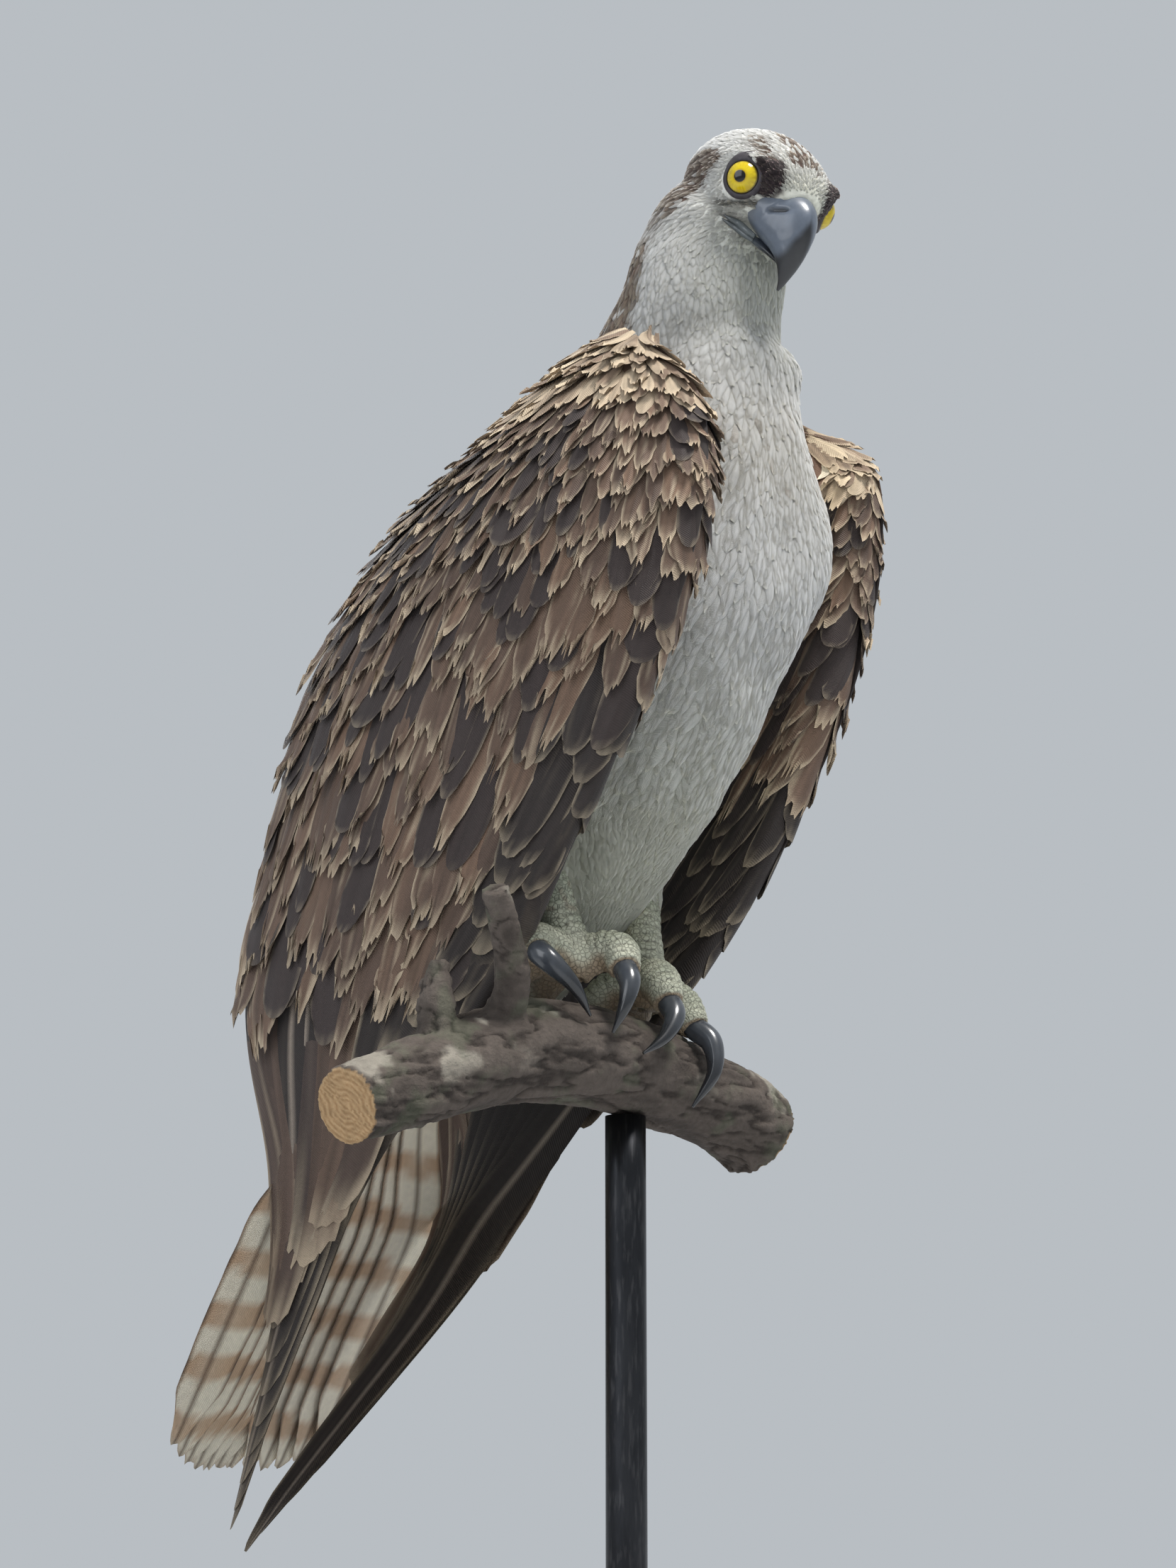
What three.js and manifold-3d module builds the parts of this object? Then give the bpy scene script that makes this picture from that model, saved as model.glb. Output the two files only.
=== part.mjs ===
// Osprey at rest on a cut length of branch, life size, on a display stand.
// Millimetres, +Z up. The bird faces -Y and its right side is towards -X.
// The origin is the middle of the stand base's underside.
// The bird and its perch are worked out round the grip point, the top of the perch between the feet.

import * as THREE from "three";
import { mergeVertices } from "three/addons/utils/BufferGeometryUtils.js";
import Module from "manifold-3d";

const wasm = await Module();
wasm.setup();

// Driving dimensions
const GAP = 0.3; // clearance between pieces that touch
const PERCH_TOP = 228; // grip point above the floor
const GRIP_Y = -12; // grip point from the middle of the base
const BASE = { radius: 112, height: 16, edge: 4 };
const ROD = { radius: 7, x: 8, y: -10, collarRadius: 15, collarHeight: 7 };
const PERCH = { radius: 18, y: -10, left: 80, right: -128, turn: 6 };
const EYE = { radius: 7.4, out: 14.6, forward: 0.5, up: 0.4 };
const HEAD = { x: -3, y: -84, z: 280, yaw: 24, pitch: 37, roll: 9 };
const TOE = { radius: 7, tipRadius: 5.6 };
const CLAW = { radius: 4.2, tipRadius: 0.5 };
const VANE_EDGE = 0.6; // thickness of a feather at its edges
const TAIL = { length: 168, feathers: 12, width: 28, halfWidth: 39 };

const at = (x, y, z) => new THREE.Vector3(x, y, z);
const lerp = THREE.MathUtils.lerp;
const clamp = THREE.MathUtils.clamp;
const rad = THREE.MathUtils.degToRad;

// Seeded random numbers from 0 to 1
function dice(seed) {
  let state = seed;
  return () => {
    state = (state * 1664525 + 1013904223) % 4294967296;
    return state / 4294967296;
  };
}

// A closed geometry as a solid with its faces outwards
function solid(geometry) {
  const bare = geometry.clone();
  bare.deleteAttribute("normal");
  bare.deleteAttribute("uv");
  const merged = mergeVertices(bare, 1e-3);
  const vertProperties = merged.attributes.position.array;
  const build = (tris) =>
    new wasm.Manifold(
      new wasm.Mesh({ numProp: 3, vertProperties, triVerts: tris }),
    );
  const tris = new Uint32Array(merged.index.array);
  const made = build(tris);
  if (made.volume() > 0) return made;
  for (let i = 0; i < tris.length; i += 3)
    [tris[i + 1], tris[i + 2]] = [tris[i + 2], tris[i + 1]];
  return build(tris);
}

// The largest closed surface of a solid, without sealed hollows and loose scraps
function largest(made) {
  return made
    .decompose()
    .reduce((best, one) => (one.volume() > best.volume() ? one : best));
}

const join = (solids) => wasm.Manifold.union(solids);

// A sphere's grid moved to place(u, v): u runs round, v from one end to the other
function wrap(sides, steps, place) {
  const g = new THREE.SphereGeometry(1, sides, steps);
  const { position, uv } = g.attributes;
  for (let i = 0; i < position.count; i++) {
    const v = Math.round((1 - uv.getY(i)) * steps) / steps;
    const pole = v === 0 || v === 1;
    const u = pole ? 0 : (Math.round(uv.getX(i) * sides) % sides) / sides;
    const p = place(u, v);
    position.setXYZ(i, p.x, p.y, p.z);
  }
  return solid(g);
}

// A smooth value along a list of numbers, t from 0 to 1
function along(list, t) {
  const f = clamp(t, 0, 1) * (list.length - 1);
  const i = Math.min(Math.floor(f), list.length - 2);
  const k = f - i;
  const [a, b, c, d] = [i - 1, i, i + 1, i + 2].map(
    (n) => list[clamp(n, 0, list.length - 1)],
  );
  return (
    b +
    0.5 * k * (c - a + k * (2 * a - 5 * b + 4 * c - d + k * (3 * (b - c) + d - a)))
  );
}

// A smooth point along a list of points, t from 0 to 1
const alongPoints = (points, t) =>
  at(
    along(points.map((p) => p.x), t),
    along(points.map((p) => p.y), t),
    along(points.map((p) => p.z), t),
  );

// A body of oval sections along a line. Each station has a centre, a half width and a half depth;
// side is the direction of the width, and power squares the oval.
function loft({ stations, side, sides, steps, power = 2, grow = 0 }) {
  const centres = stations.map((s) => s.centre);
  const widths = stations.map((s) => s.width);
  const depths = stations.map((s) => s.depth);
  const round = (x) => Math.sign(x) * Math.abs(x) ** (2 / power);
  return wrap(sides, steps, (u, v) => {
    const t = clamp((v * steps - 1) / (steps - 2), 0, 1);
    const c = alongPoints(centres, t);
    const ahead = alongPoints(centres, Math.min(t + 0.01, 1));
    const behind = alongPoints(centres, Math.max(t - 0.01, 0));
    const run = ahead.sub(behind).normalize();
    const across = side.clone().addScaledVector(run, -side.dot(run)).normalize();
    const front = across.clone().cross(run);
    if (v === 0) return c.addScaledVector(run, -grow);
    if (v === 1) return c.addScaledVector(run, grow);
    const angle = 2 * Math.PI * u;
    return c
      .addScaledVector(across, (along(widths, t) + grow) * round(Math.cos(angle)))
      .addScaledVector(front, (along(depths, t) + grow) * round(Math.sin(angle)));
  });
}

// A round tube through a list of points, with radii spread evenly along it
function tube(points, radii, sides, steps, side, grow = 0) {
  const curve = new THREE.CatmullRomCurve3(points);
  const count = radii.length * 3;
  const stations = Array.from({ length: count }, (_, i) => {
    const t = i / (count - 1);
    const r = along(radii, t);
    return { centre: curve.getPointAt(t), width: r, depth: r };
  });
  return loft({ stations, side, sides, steps, grow });
}

// A thin plate: place(u, v, face) gives the point on its upper (1) or lower (-1) face.
// Both faces are split into triangles alike.
function plate(across, steps, place) {
  const points = [];
  for (const face of [1, -1])
    for (let j = 0; j <= steps; j++)
      for (let i = 0; i <= across; i++)
        points.push(place(i / across, j / steps, face));
  const id = (i, j, face) =>
    (face > 0 ? 0 : (across + 1) * (steps + 1)) + j * (across + 1) + i;
  const tris = [];
  const quad = (a, b, c, d) => tris.push(a, b, c, a, c, d);
  for (let j = 0; j < steps; j++)
    for (let i = 0; i < across; i++) {
      quad(id(i, j, 1), id(i + 1, j, 1), id(i + 1, j + 1, 1), id(i, j + 1, 1));
      const [a, b, c, d] = [
        id(i, j, -1),
        id(i + 1, j, -1),
        id(i + 1, j + 1, -1),
        id(i, j + 1, -1),
      ];
      tris.push(a, c, b, a, d, c);
    }
  for (let j = 0; j < steps; j++) {
    quad(id(0, j, 1), id(0, j + 1, 1), id(0, j + 1, -1), id(0, j, -1));
    quad(
      id(across, j, -1),
      id(across, j + 1, -1),
      id(across, j + 1, 1),
      id(across, j, 1),
    );
  }
  for (let i = 0; i < across; i++) {
    quad(id(i, 0, -1), id(i + 1, 0, -1), id(i + 1, 0, 1), id(i, 0, 1));
    quad(
      id(i, steps, 1),
      id(i + 1, steps, 1),
      id(i + 1, steps, -1),
      id(i, steps, -1),
    );
  }
  const g = new THREE.BufferGeometry();
  g.setAttribute(
    "position",
    new THREE.Float32BufferAttribute(points.flatMap((p) => [p.x, p.y, p.z]), 3),
  );
  g.setIndex(tris);
  return solid(g);
}

// Half width of a feather at v from root to tip, as a share of its widest half
const featherShape = (v) =>
  lerp(0.5, 1, Math.min(v / 0.35, 1)) *
  (v < 0.62 ? 1 : Math.sqrt(Math.max(1 - ((v - 0.62) / 0.4) ** 2, 0.06)));

// Torso, from the neck down to the tail's root: z, y, half width, half depth
const TORSO = [
  [238, -51, 26, 26],
  [221, -47, 33, 37],
  [201, -38, 43, 50],
  [177, -25, 51, 64],
  [150, -12, 55, 72],
  [118, 5, 54, 73],
  [85, 17, 47, 64],
  [52, 30, 33, 49],
  [22, 44, 25, 34],
  [-4, 60, 23, 21],
  [-24, 73, 20, 12],
];
function torsoSolid(grow = 0) {
  const stations = TORSO.map(([z, y, width, depth]) => ({
    centre: at(0, y, z),
    width,
    depth,
  }));
  return loft({
    stations,
    side: at(1, 0, 0),
    sides: 20,
    steps: 15,
    power: 2.2,
    grow,
  });
}

// The head's own frame: forward, up and left from the point midway between the eyes
const headTurn = new THREE.Matrix4()
  .makeTranslation(HEAD.x, HEAD.y, HEAD.z)
  .multiply(new THREE.Matrix4().makeRotationZ(rad(-HEAD.yaw)))
  .multiply(new THREE.Matrix4().makeRotationX(rad(HEAD.pitch)))
  .multiply(new THREE.Matrix4().makeRotationY(rad(HEAD.roll)));
const inHead = (forward, up, left = 0) =>
  at(left, -forward, up).applyMatrix4(headTurn);
const headSide = at(1, 0, 0).transformDirection(headTurn);

// Head from the back of the skull to the face: forward, top, bottom, half width
const SKULL = [
  [-43, -2, -18, 9],
  [-38, 8, -24, 17],
  [-27, 16, -27, 22],
  [-13, 20, -26, 23.5],
  [-2, 19.5, -23, 22],
  [6, 16, -20, 19],
  [12, 11.5, -17, 14.5],
  [16, 7.5, -13.5, 10],
];
function skullSolid(grow = 0) {
  const stations = SKULL.map(([forward, top, bottom, width]) => ({
    centre: inHead(forward, (top + bottom) / 2),
    width,
    depth: (top - bottom) / 2,
  }));
  return loft({ stations, side: headSide, sides: 18, steps: 12, grow });
}

// Neck, from inside the torso up into the skull
const NECK = {
  points: [at(0, -34, 205), at(0, -44, 228), at(1, -50, 250), at(3, -54, 272), at(5, -58, 287), at(6, -62, 298)],
  radii: [40, 34, 31, 29, 25, 13],
};
const neckSolid = (grow = 0) =>
  tube(NECK.points, NECK.radii, 16, 9, at(1, 0, 0), grow);

const eyeCentre = (left) =>
  inHead(EYE.forward, EYE.up, left * EYE.out);
function eyeSolid(left, grow = 0) {
  const c = eyeCentre(left);
  const g = new THREE.SphereGeometry(EYE.radius + grow, 12, 8);
  g.translate(c.x, c.y, c.z);
  return solid(g);
}

// The lid's raised ring round the eye
function lidSolid(left) {
  const ring = new THREE.TorusGeometry(6.5, 1.5, 5, 14);
  const look = inHead(EYE.forward + 0.42, EYE.up + 0.05, left * (EYE.out + 0.9))
    .sub(eyeCentre(left))
    .normalize();
  ring.applyQuaternion(
    new THREE.Quaternion().setFromUnitVectors(at(0, 0, 1), look),
  );
  const c = eyeCentre(left).addScaledVector(look, 4.2);
  ring.translate(c.x, c.y, c.z);
  return solid(ring);
}

// Upper bill: culmen forward and up, cutting edge forward and up, half width
const UPPER_BILL = [
  [8, 6.8, 3, -11.5, 9.6],
  [14, 7.2, 9, -11.5, 8.9],
  [19.5, 6.2, 14.5, -11, 7.8],
  [24, 3.2, 18.5, -11, 6.6],
  [27.2, -2.4, 21.2, -11.8, 5.3],
  [28.6, -8.8, 23.2, -14, 3.9],
  [28.2, -15.2, 24.4, -17.6, 2.6],
  [26.6, -20.8, 24.6, -21.4, 1.4],
  [25.2, -24.8, 24.8, -24.8, 0.5],
];
const LOWER_BILL = [
  [2, -12.6, 0, -20, 9],
  [9, -12.4, 8, -19.4, 7.6],
  [15, -12, 14.5, -18, 6],
  [19.5, -12.6, 19, -16.2, 4.2],
  [22, -14.2, 21.6, -15.4, 1.8],
];
function billSolid(rows, sides, steps, grow = 0) {
  const stations = rows.map(([f1, u1, f2, u2, width]) => ({
    centre: inHead((f1 + f2) / 2, (u1 + u2) / 2),
    width,
    depth: Math.hypot(f1 - f2, u1 - u2) / 2,
  }));
  return loft({ stations, side: headSide, sides, steps, grow });
}
// A thin cut that parts the jaws from the bill back to the corner of the mouth
const mouthCut = () =>
  plate(1, 1, (u, v, face) =>
    inHead(lerp(-1, 22, v), lerp(-15, -11.6, v) + face * 0.4, (u - 0.5) * 36),
  );
function nostrilSolid(left) {
  const hole = new THREE.SphereGeometry(1, 8, 6);
  hole.scale(1.2, 2.6, 1.1);
  hole.applyQuaternion(new THREE.Quaternion().setFromRotationMatrix(headTurn));
  const c = inHead(16.6, 1.4, left * 8.2);
  hole.translate(c.x, c.y, c.z);
  return solid(hole);
}

// Folded wings: stations from the shoulder to the tip. Each has a point on the front edge,
// one midway on the outside and one on the back edge. The left wing hangs a little further back.
const WINGS = {
  right: [
    [[-53, -62, 216], [-50, -47, 223], [-43, -34, 226]],
    [[-60, -77, 195], [-64, -34, 202], [-32, 12, 204]],
    [[-65, -81, 164], [-75, -14, 168], [-31, 62, 176]],
    [[-66, -74, 127], [-78, 6, 130], [-32, 92, 143]],
    [[-63, -57, 90], [-73, 26, 92], [-34, 106, 108]],
    [[-57, -29, 48], [-64, 48, 52], [-38, 115, 66]],
    [[-50, 10, -4], [-57, 70, 0], [-47, 118, 4]],
    [[-43, 62, -58], [-49, 84, -56], [-50, 101, -56]],
    [[-34, 95, -104], [-35, 107, -104], [-32, 116, -104]],
    [[-19, 142, -170], [-17, 146, -171], [-14, 150, -171]],
  ],
  left: [
    [[54, -60, 216], [50, -47, 223], [43, -34, 226]],
    [[64, -77, 199], [62, -34, 202], [32, 12, 204]],
    [[69, -76, 164], [71, -14, 168], [31, 62, 176]],
    [[69, -67, 127], [72, 6, 130], [32, 92, 143]],
    [[66, -53, 90], [69, 26, 92], [34, 106, 108]],
    [[60, -30, 46], [62, 48, 50], [38, 115, 66]],
    [[51, 10, -6], [55, 70, 0], [47, 118, 4]],
    [[45, 56, -62], [48, 84, -58], [47, 101, -56]],
    [[38, 89, -103], [37, 106, -104], [32, 119, -104]],
    [[14, 154, -179], [13, 158, -179], [10, 162, -178]],
  ],
};
const WING_LENGTH = 440; // along the middle of the outside, shoulder to tip

// Outer sheet of a wing: s in millimetres from the shoulder, b from the front edge (0) to the back (1)
class WingSheet {
  constructor(name) {
    this.side = name === "left" ? 1 : -1;
    this.stations = WINGS[name].map((station) => station.map((p) => at(...p)));
    const middle = new THREE.CatmullRomCurve3(this.stations.map((w) => w[1]));
    this.lengths = middle.getLengths(180);
    this.total = this.lengths[180];
  }
  share(s) {
    const want = clamp(s / WING_LENGTH, 0, 1.04) * this.total;
    const last = this.lengths.length - 1;
    if (want >= this.total) return 1 + (want - this.total) / this.total;
    const i = this.lengths.findIndex((d) => d > want);
    const k =
      (want - this.lengths[i - 1]) / (this.lengths[i] - this.lengths[i - 1]);
    return (i - 1 + k) / last;
  }
  point(s, b) {
    const t = this.share(s);
    const [l, m, r] = [0, 1, 2].map((n) => {
      const row = this.stations.map((w) => w[n]);
      if (t <= 1) return alongPoints(row, t);
      const end = row[row.length - 1];
      return end.clone().lerp(row[row.length - 2], (1 - t) * (row.length - 1));
    });
    return l
      .multiplyScalar(2 * (b - 0.5) * (b - 1))
      .addScaledVector(m, 4 * b * (1 - b))
      .addScaledVector(r, 2 * b * (b - 0.5));
  }
  normal(s, b) {
    const down = this.point(s + 2, b).sub(this.point(s - 2, b));
    const back = this.point(s, b + 0.02).sub(this.point(s, b - 0.02));
    return down.cross(back).normalize().multiplyScalar(this.side);
  }
  width(s) {
    return this.point(s, 0).distanceTo(this.point(s, 0.5)) * 2;
  }
}

// The wing's flesh and small feathers, thick at the shoulder and thin under the flight feathers
const CORE_END = 268;
const CORE_THICKNESS = [11, 20, 23, 22, 17, 12, 8, 6, 4.5];
function wingCore(sheet) {
  return wrap(14, 11, (u, v) => {
    const k = clamp((v * 11 - 1) / 9, 0, 1);
    const s = lerp(0, CORE_END, k);
    const thick = along(CORE_THICKNESS, k);
    if (v === 0 || v === 1)
      return sheet.point(s, 0.5).addScaledVector(sheet.normal(s, 0.5), -thick / 2);
    const b = (1 - Math.cos(2 * Math.PI * u)) / 2;
    const inner = u > 0.5 ? Math.abs(Math.sin(2 * Math.PI * u)) ** 0.6 : 0;
    return sheet
      .point(s, lerp(0.01, 0.99, b))
      .addScaledVector(sheet.normal(s, clamp(b, 0.06, 0.94)), -thick * inner);
  });
}

// One feather on a wing. It follows the sheet from s, b for its length; root and tip are its
// heights over the sheet, and drift turns it towards the front edge.
function wingFeather(sheet, f) {
  return plate(f.across ?? 1, f.steps, (u, v, face) => {
    const s = f.s + f.length * v;
    const wide = Math.max(sheet.width(s), 16);
    const half = (f.width / 2) * featherShape(v);
    const reach = Math.min(half / wide, 0.5);
    const middle = clamp(f.b - (f.drift * f.length * v) / wide, reach, 1 - reach);
    const b = middle + (u - 0.5) * 2 * reach;
    const lift = lerp(f.root, f.tip, v ** 0.8);
    const ridge = f.across === 2 && u === 0.5 ? 0.35 : 0;
    const thick = VANE_EDGE / 2 + ridge;
    const cup = -0.5 * (2 * u - 1) ** 2;
    return sheet
      .point(s, b)
      .addScaledVector(sheet.normal(s, clamp(b, 0.05, 0.95)), lift + cup + face * thick);
  });
}

// Tiers of a wing, from the shoulder down. Counts, places and sizes; each tier's feathers run
// from the front edge to the back, and first and last give the values at those ends.
const TIERS = [
  { count: 5, s: [22, 30], b: [0.16, 0.86], length: [46, 46], width: [30, 33], root: -3, tip: [3.2, 3.2], drift: 0.1, steps: 3 },
  { count: 6, s: [58, 66], b: [0.11, 0.91], length: [58, 62], width: [30, 34], root: -3.5, tip: [2.9, 2.9], drift: 0.1, steps: 3 },
  { count: 7, s: [100, 110], b: [0.1, 0.93], length: [72, 86], width: [27, 30], root: -4, tip: [2.6, 2.6], drift: 0.08, steps: 3 },
  { count: 5, s: [148, 162], b: [0.34, 0.92], length: [82, 98], width: [27, 30], root: -4, tip: [2.3, 2.3], drift: 0.04, steps: 4 },
  { count: 7, s: [194, 212], b: [0.3, 0.92], length: [122, 152], width: [26, 28], root: -4, tip: [1.2, 1.8], drift: 0.02, steps: 4 },
  { count: 3, s: [140, 150], b: [0.07, 0.26], length: [92, 90], width: [20, 22], root: -4, tip: [1.6, 1.8], drift: 0.02, steps: 4 },
];
// Primaries: the outermost lies at the front edge and reaches the tip
const PRIMARIES = { count: 6, s: 214, b: [0.1, 0.62], tipS: [444, 372], width: 25, root: [-4.6, -1.2], tip: [-3.6, 0.2] };

function wingSolid(sheet, seed) {
  const roll = dice(seed);
  const pieces = [wingCore(sheet)];
  for (const tier of TIERS)
    for (let i = 0; i < tier.count; i++) {
      const k = i / (tier.count - 1);
      const pick = ([first, last]) => lerp(first, last, k);
      pieces.push(
        wingFeather(sheet, {
          s: pick(tier.s) + (roll() - 0.5) * 7,
          b: pick(tier.b) + (roll() - 0.5) * 0.02,
          length: pick(tier.length) * (0.95 + 0.12 * roll()),
          width: pick(tier.width),
          root: tier.root,
          tip: pick(tier.tip) + (i % 2) * 0.95,
          steps: tier.steps,
          drift: tier.drift + (roll() - 0.5) * 0.06,
        }),
      );
    }
  for (let i = 0; i < PRIMARIES.count; i++) {
    const k = i / (PRIMARIES.count - 1);
    pieces.push(
      wingFeather(sheet, {
        s: PRIMARIES.s,
        b: lerp(...PRIMARIES.b, k),
        length: lerp(...PRIMARIES.tipS, k) - PRIMARIES.s,
        width: PRIMARIES.width,
        root: lerp(...PRIMARIES.root, k),
        tip: lerp(...PRIMARIES.tip, k),
        drift: 0,
        steps: 5,
        across: 2,
      }),
    );
  }
  return join(pieces);
}

// Tail: its line runs down and back from the rump, its upper face looks up and back
const tailRoot = at(-2, 60, 22);
const tailRun = at(0, 98, -174).normalize();
const tailUp = at(1, 0, 0).cross(tailRun);
const tailPoint = (x, d, h) =>
  tailRoot
    .clone()
    .addScaledVector(tailRun, d)
    .addScaledVector(tailUp, h)
    .add(at(x, 0, 0));
// Feathers lie one over the next, the middle pair on top, and part within their first half
function tailFeather(k, grow) {
  const out = Math.abs(k);
  const length = TAIL.length * (1 - 0.07 * out ** 3);
  const over = k > 0 && out < 0.2 ? 0.65 : 0;
  return plate(2, 4, (u, v, face) => {
    const half = (TAIL.width / 2) * featherShape(v) + grow;
    const apart = THREE.MathUtils.smoothstep(v, 0.05, 0.46);
    const x = k * lerp(13, TAIL.halfWidth, apart) + (u - 0.5) * 2 * half;
    const lift = lerp(0.6 - 4.4 * out, 1.2 - 6.2 * out + over, Math.min(2 * v, 1));
    const thick = VANE_EDGE / 2 + (u === 0.5 ? 0.35 : 0) + grow;
    return tailPoint(x, 34 + length * v, lift + face * thick);
  });
}
function tailSolid(grow = 0) {
  const base = wrap(14, 8, (u, v) => {
    const k = clamp((v * 8 - 1) / 6, 0, 1);
    const d = lerp(18, 88, k);
    if (v === 0 || v === 1) return tailPoint(0, d, -3);
    const angle = 2 * Math.PI * u;
    const wide = along([21, 24, 29, 30], k) + grow;
    const deep = along([14, 11, 8, 3.6], k) + grow;
    return tailPoint(wide * Math.cos(angle), d, -3 + deep * Math.sin(angle));
  });
  const vanes = Array.from({ length: TAIL.feathers }, (_, i) =>
    tailFeather((2 * i) / (TAIL.feathers - 1) - 1, grow),
  );
  return join([base, ...vanes]);
}

// Perch: a bent branch with a knob and a cut side twig. t runs along it from the bird's right.
const perchPoint = (t, drop = 0) => {
  const turn = rad(PERCH.turn);
  return at(
    t * Math.cos(turn),
    PERCH.y - t * Math.sin(turn),
    -PERCH.radius - drop,
  );
};
const PERCH_LINE = [
  perchPoint(PERCH.right, 30),
  perchPoint(-96, 19),
  perchPoint(-62, 7),
  perchPoint(-30, 1),
  perchPoint(0, 1),
  perchPoint(30, 5),
  perchPoint(62, 11),
  perchPoint(PERCH.left, 19),
];
const PERCH_RADII = [13.5, 15, 17, PERCH.radius, PERCH.radius, PERCH.radius, 17.5, 17];
function perchSolid(grow = 0) {
  const up = at(0, 0, 1);
  const knob = tube(
    [perchPoint(-84, 12), perchPoint(-88, -8), perchPoint(-86, -22)],
    [9, 7.5, 4],
    9, 6, at(0, 1, 0), grow,
  );
  const twig = tube(
    [perchPoint(-60, 2), at(-66, -16, 0), at(-84, -22, 26)],
    [8.5, 6.4, 5.6],
    9, 7, at(0, 1, 0), grow,
  );
  return join([tube(PERCH_LINE, PERCH_RADII, 14, 15, up, grow), knob, twig]);
}

// Feet: each toe runs from the foot's middle to its end, and its claw on from there.
// Two toes grip from the front and two from behind, the outer one being reversible.
const FEET = {
  right: {
    middle: [-20, -8, 12],
    toes: {
      front_outer: [[-31, -6, 16], [-40, -6, 16], [-46, -12, 12]],
      front_inner: [[-16, -15, 16], [-14, -22, 15], [-17, -27, 9]],
      back_outer: [[-28, 0, 14], [-33, 6, 11], [-36, 11, 3]],
      back_inner: [[-18, 0, 14], [-16, 7, 9], [-16, 11, 1]],
    },
    claws: {
      front_outer: [[-46, -17, 8], [-41, -23, 0], [-33, -24, -9]],
      front_inner: [[-20, -31, 3], [-23, -31, -5], [-25, -27.5, -14]],
      back_outer: [[-37, 15, -3], [-36, 16, -13], [-35, 13, -23]],
      back_inner: [[-16, 15, -6], [-17, 15, -15], [-18, 11.5, -25]],
    },
    shank: [[-24, -4, 30], [-27, 0, 48], [-29, 8, 68]],
    thigh: [[-27, -1, 38], [-28, 2, 58], [-28, 8, 80], [-26, 18, 106]],
  },
  left: {
    middle: [18, -10, 8],
    toes: {
      front_outer: [[25, -14, 8], [29, -19, 3], [29, -25, -5]],
      front_inner: [[14, -18, 11], [11, -23, 7.5], [9, -27.5, 1]],
      back_outer: [[25, -3, 9], [30, 2, 5], [33, 6, -3]],
      back_inner: [[15, -1, 9], [14, 5, 4], [14, 9, -4]],
    },
    claws: {
      front_outer: [[29, -32, -11], [26, -34.5, -22], [19.5, -30, -34]],
      front_inner: [[5.5, -32, -5], [-1, -32, -13], [-9, -29, -19]],
      back_outer: [[33, 10, -9], [32.5, 10.5, -18], [31, 7.5, -28]],
      back_inner: [[14, 12.5, -10], [13, 13, -19], [12, 9.5, -29]],
    },
    shank: [[22, -8, 26], [26, -3, 46], [29, 7, 68]],
    thigh: [[25, -4, 36], [28, 1, 57], [28, 8, 80], [26, 18, 106]],
  },
};
const spots = (rows) => rows.map((p) => at(...p));
const { radius: toeRadius, tipRadius: toeEnd } = TOE;
const toeSolid = (foot, toe) =>
  tube(
    spots([foot.middle, ...foot.toes[toe]]),
    [toeRadius * 1.15, toeRadius, toeRadius * 1.06, toeEnd],
    8, 6, at(1, 0.3, 0),
  );
function clawSolid(foot, toe, grow = 0) {
  const [, knuckle, end] = spots(foot.toes[toe]);
  const inside = end.clone().lerp(knuckle, 0.35);
  const radii = [1, 0.98, 0.74, 0.46].map((share) => CLAW.radius * share);
  return tube(
    [inside, end, ...spots(foot.claws[toe])],
    [...radii, CLAW.tipRadius],
    7, 7, at(1, 0.3, 0), grow,
  );
}
// The bare shank stands on the foot, and the feathered thigh covers its top
const shankSolid = (foot, grow = 0) =>
  tube(spots([foot.middle, ...foot.shank]), [8.6, 6.8, 7.2, 7.8], 9, 6, at(1, 0, 0), grow);
const thighSolid = (foot, grow = 0) =>
  tube(spots(foot.thigh), [9.2, 15, 22, 26], 14, 9, at(1, 0, 0), grow);

// The planes that part head, neck and torso: a point on each and its upward direction
const neckTop = { point: at(-1, -60, 266), up: at(0, -0.45, 0.89).normalize() };
const neckFoot = { point: at(0, -45, 220), up: at(0, -0.32, 0.95).normalize() };
const above = (made, cut) =>
  made.trimByPlane(cut.up.toArray(), cut.up.dot(cut.point) + GAP / 2);
const below = (made, cut) =>
  made.trimByPlane(cut.up.clone().negate().toArray(), -cut.up.dot(cut.point) + GAP / 2);

const nodes = new Map();
const torsoRoom = torsoSolid(GAP);
const neckRoom = neckSolid(GAP);
const skullRoom = skullSolid(GAP);
const perchRoom = perchSolid(GAP);
const sides = { right: -1, left: 1 };
const cutAll = (made, rooms) => rooms.reduce((left, room) => left.subtract(room), made);

// One body, parted into head, neck and torso by two thin cuts
const body = join([torsoSolid(), neckSolid(), skullSolid(), lidSolid(1), lidSolid(-1)]);
nodes.set(
  "head",
  cutAll(above(body, neckTop), [eyeSolid(1, GAP), eyeSolid(-1, GAP), mouthCut()]),
);
nodes.set("neck", above(below(body, neckTop), neckFoot));
nodes.set("torso", below(body, neckFoot));
nodes.set(
  "bill_upper",
  cutAll(billSolid(UPPER_BILL, 14, 12), [skullRoom, nostrilSolid(1), nostrilSolid(-1)]),
);
nodes.set(
  "bill_lower",
  cutAll(billSolid(LOWER_BILL, 12, 8), [skullRoom, neckRoom, billSolid(UPPER_BILL, 14, 12, GAP)]),
);
nodes.set("tail", tailSolid().subtract(torsoRoom));
const tailRoom = tailSolid(GAP);

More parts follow.
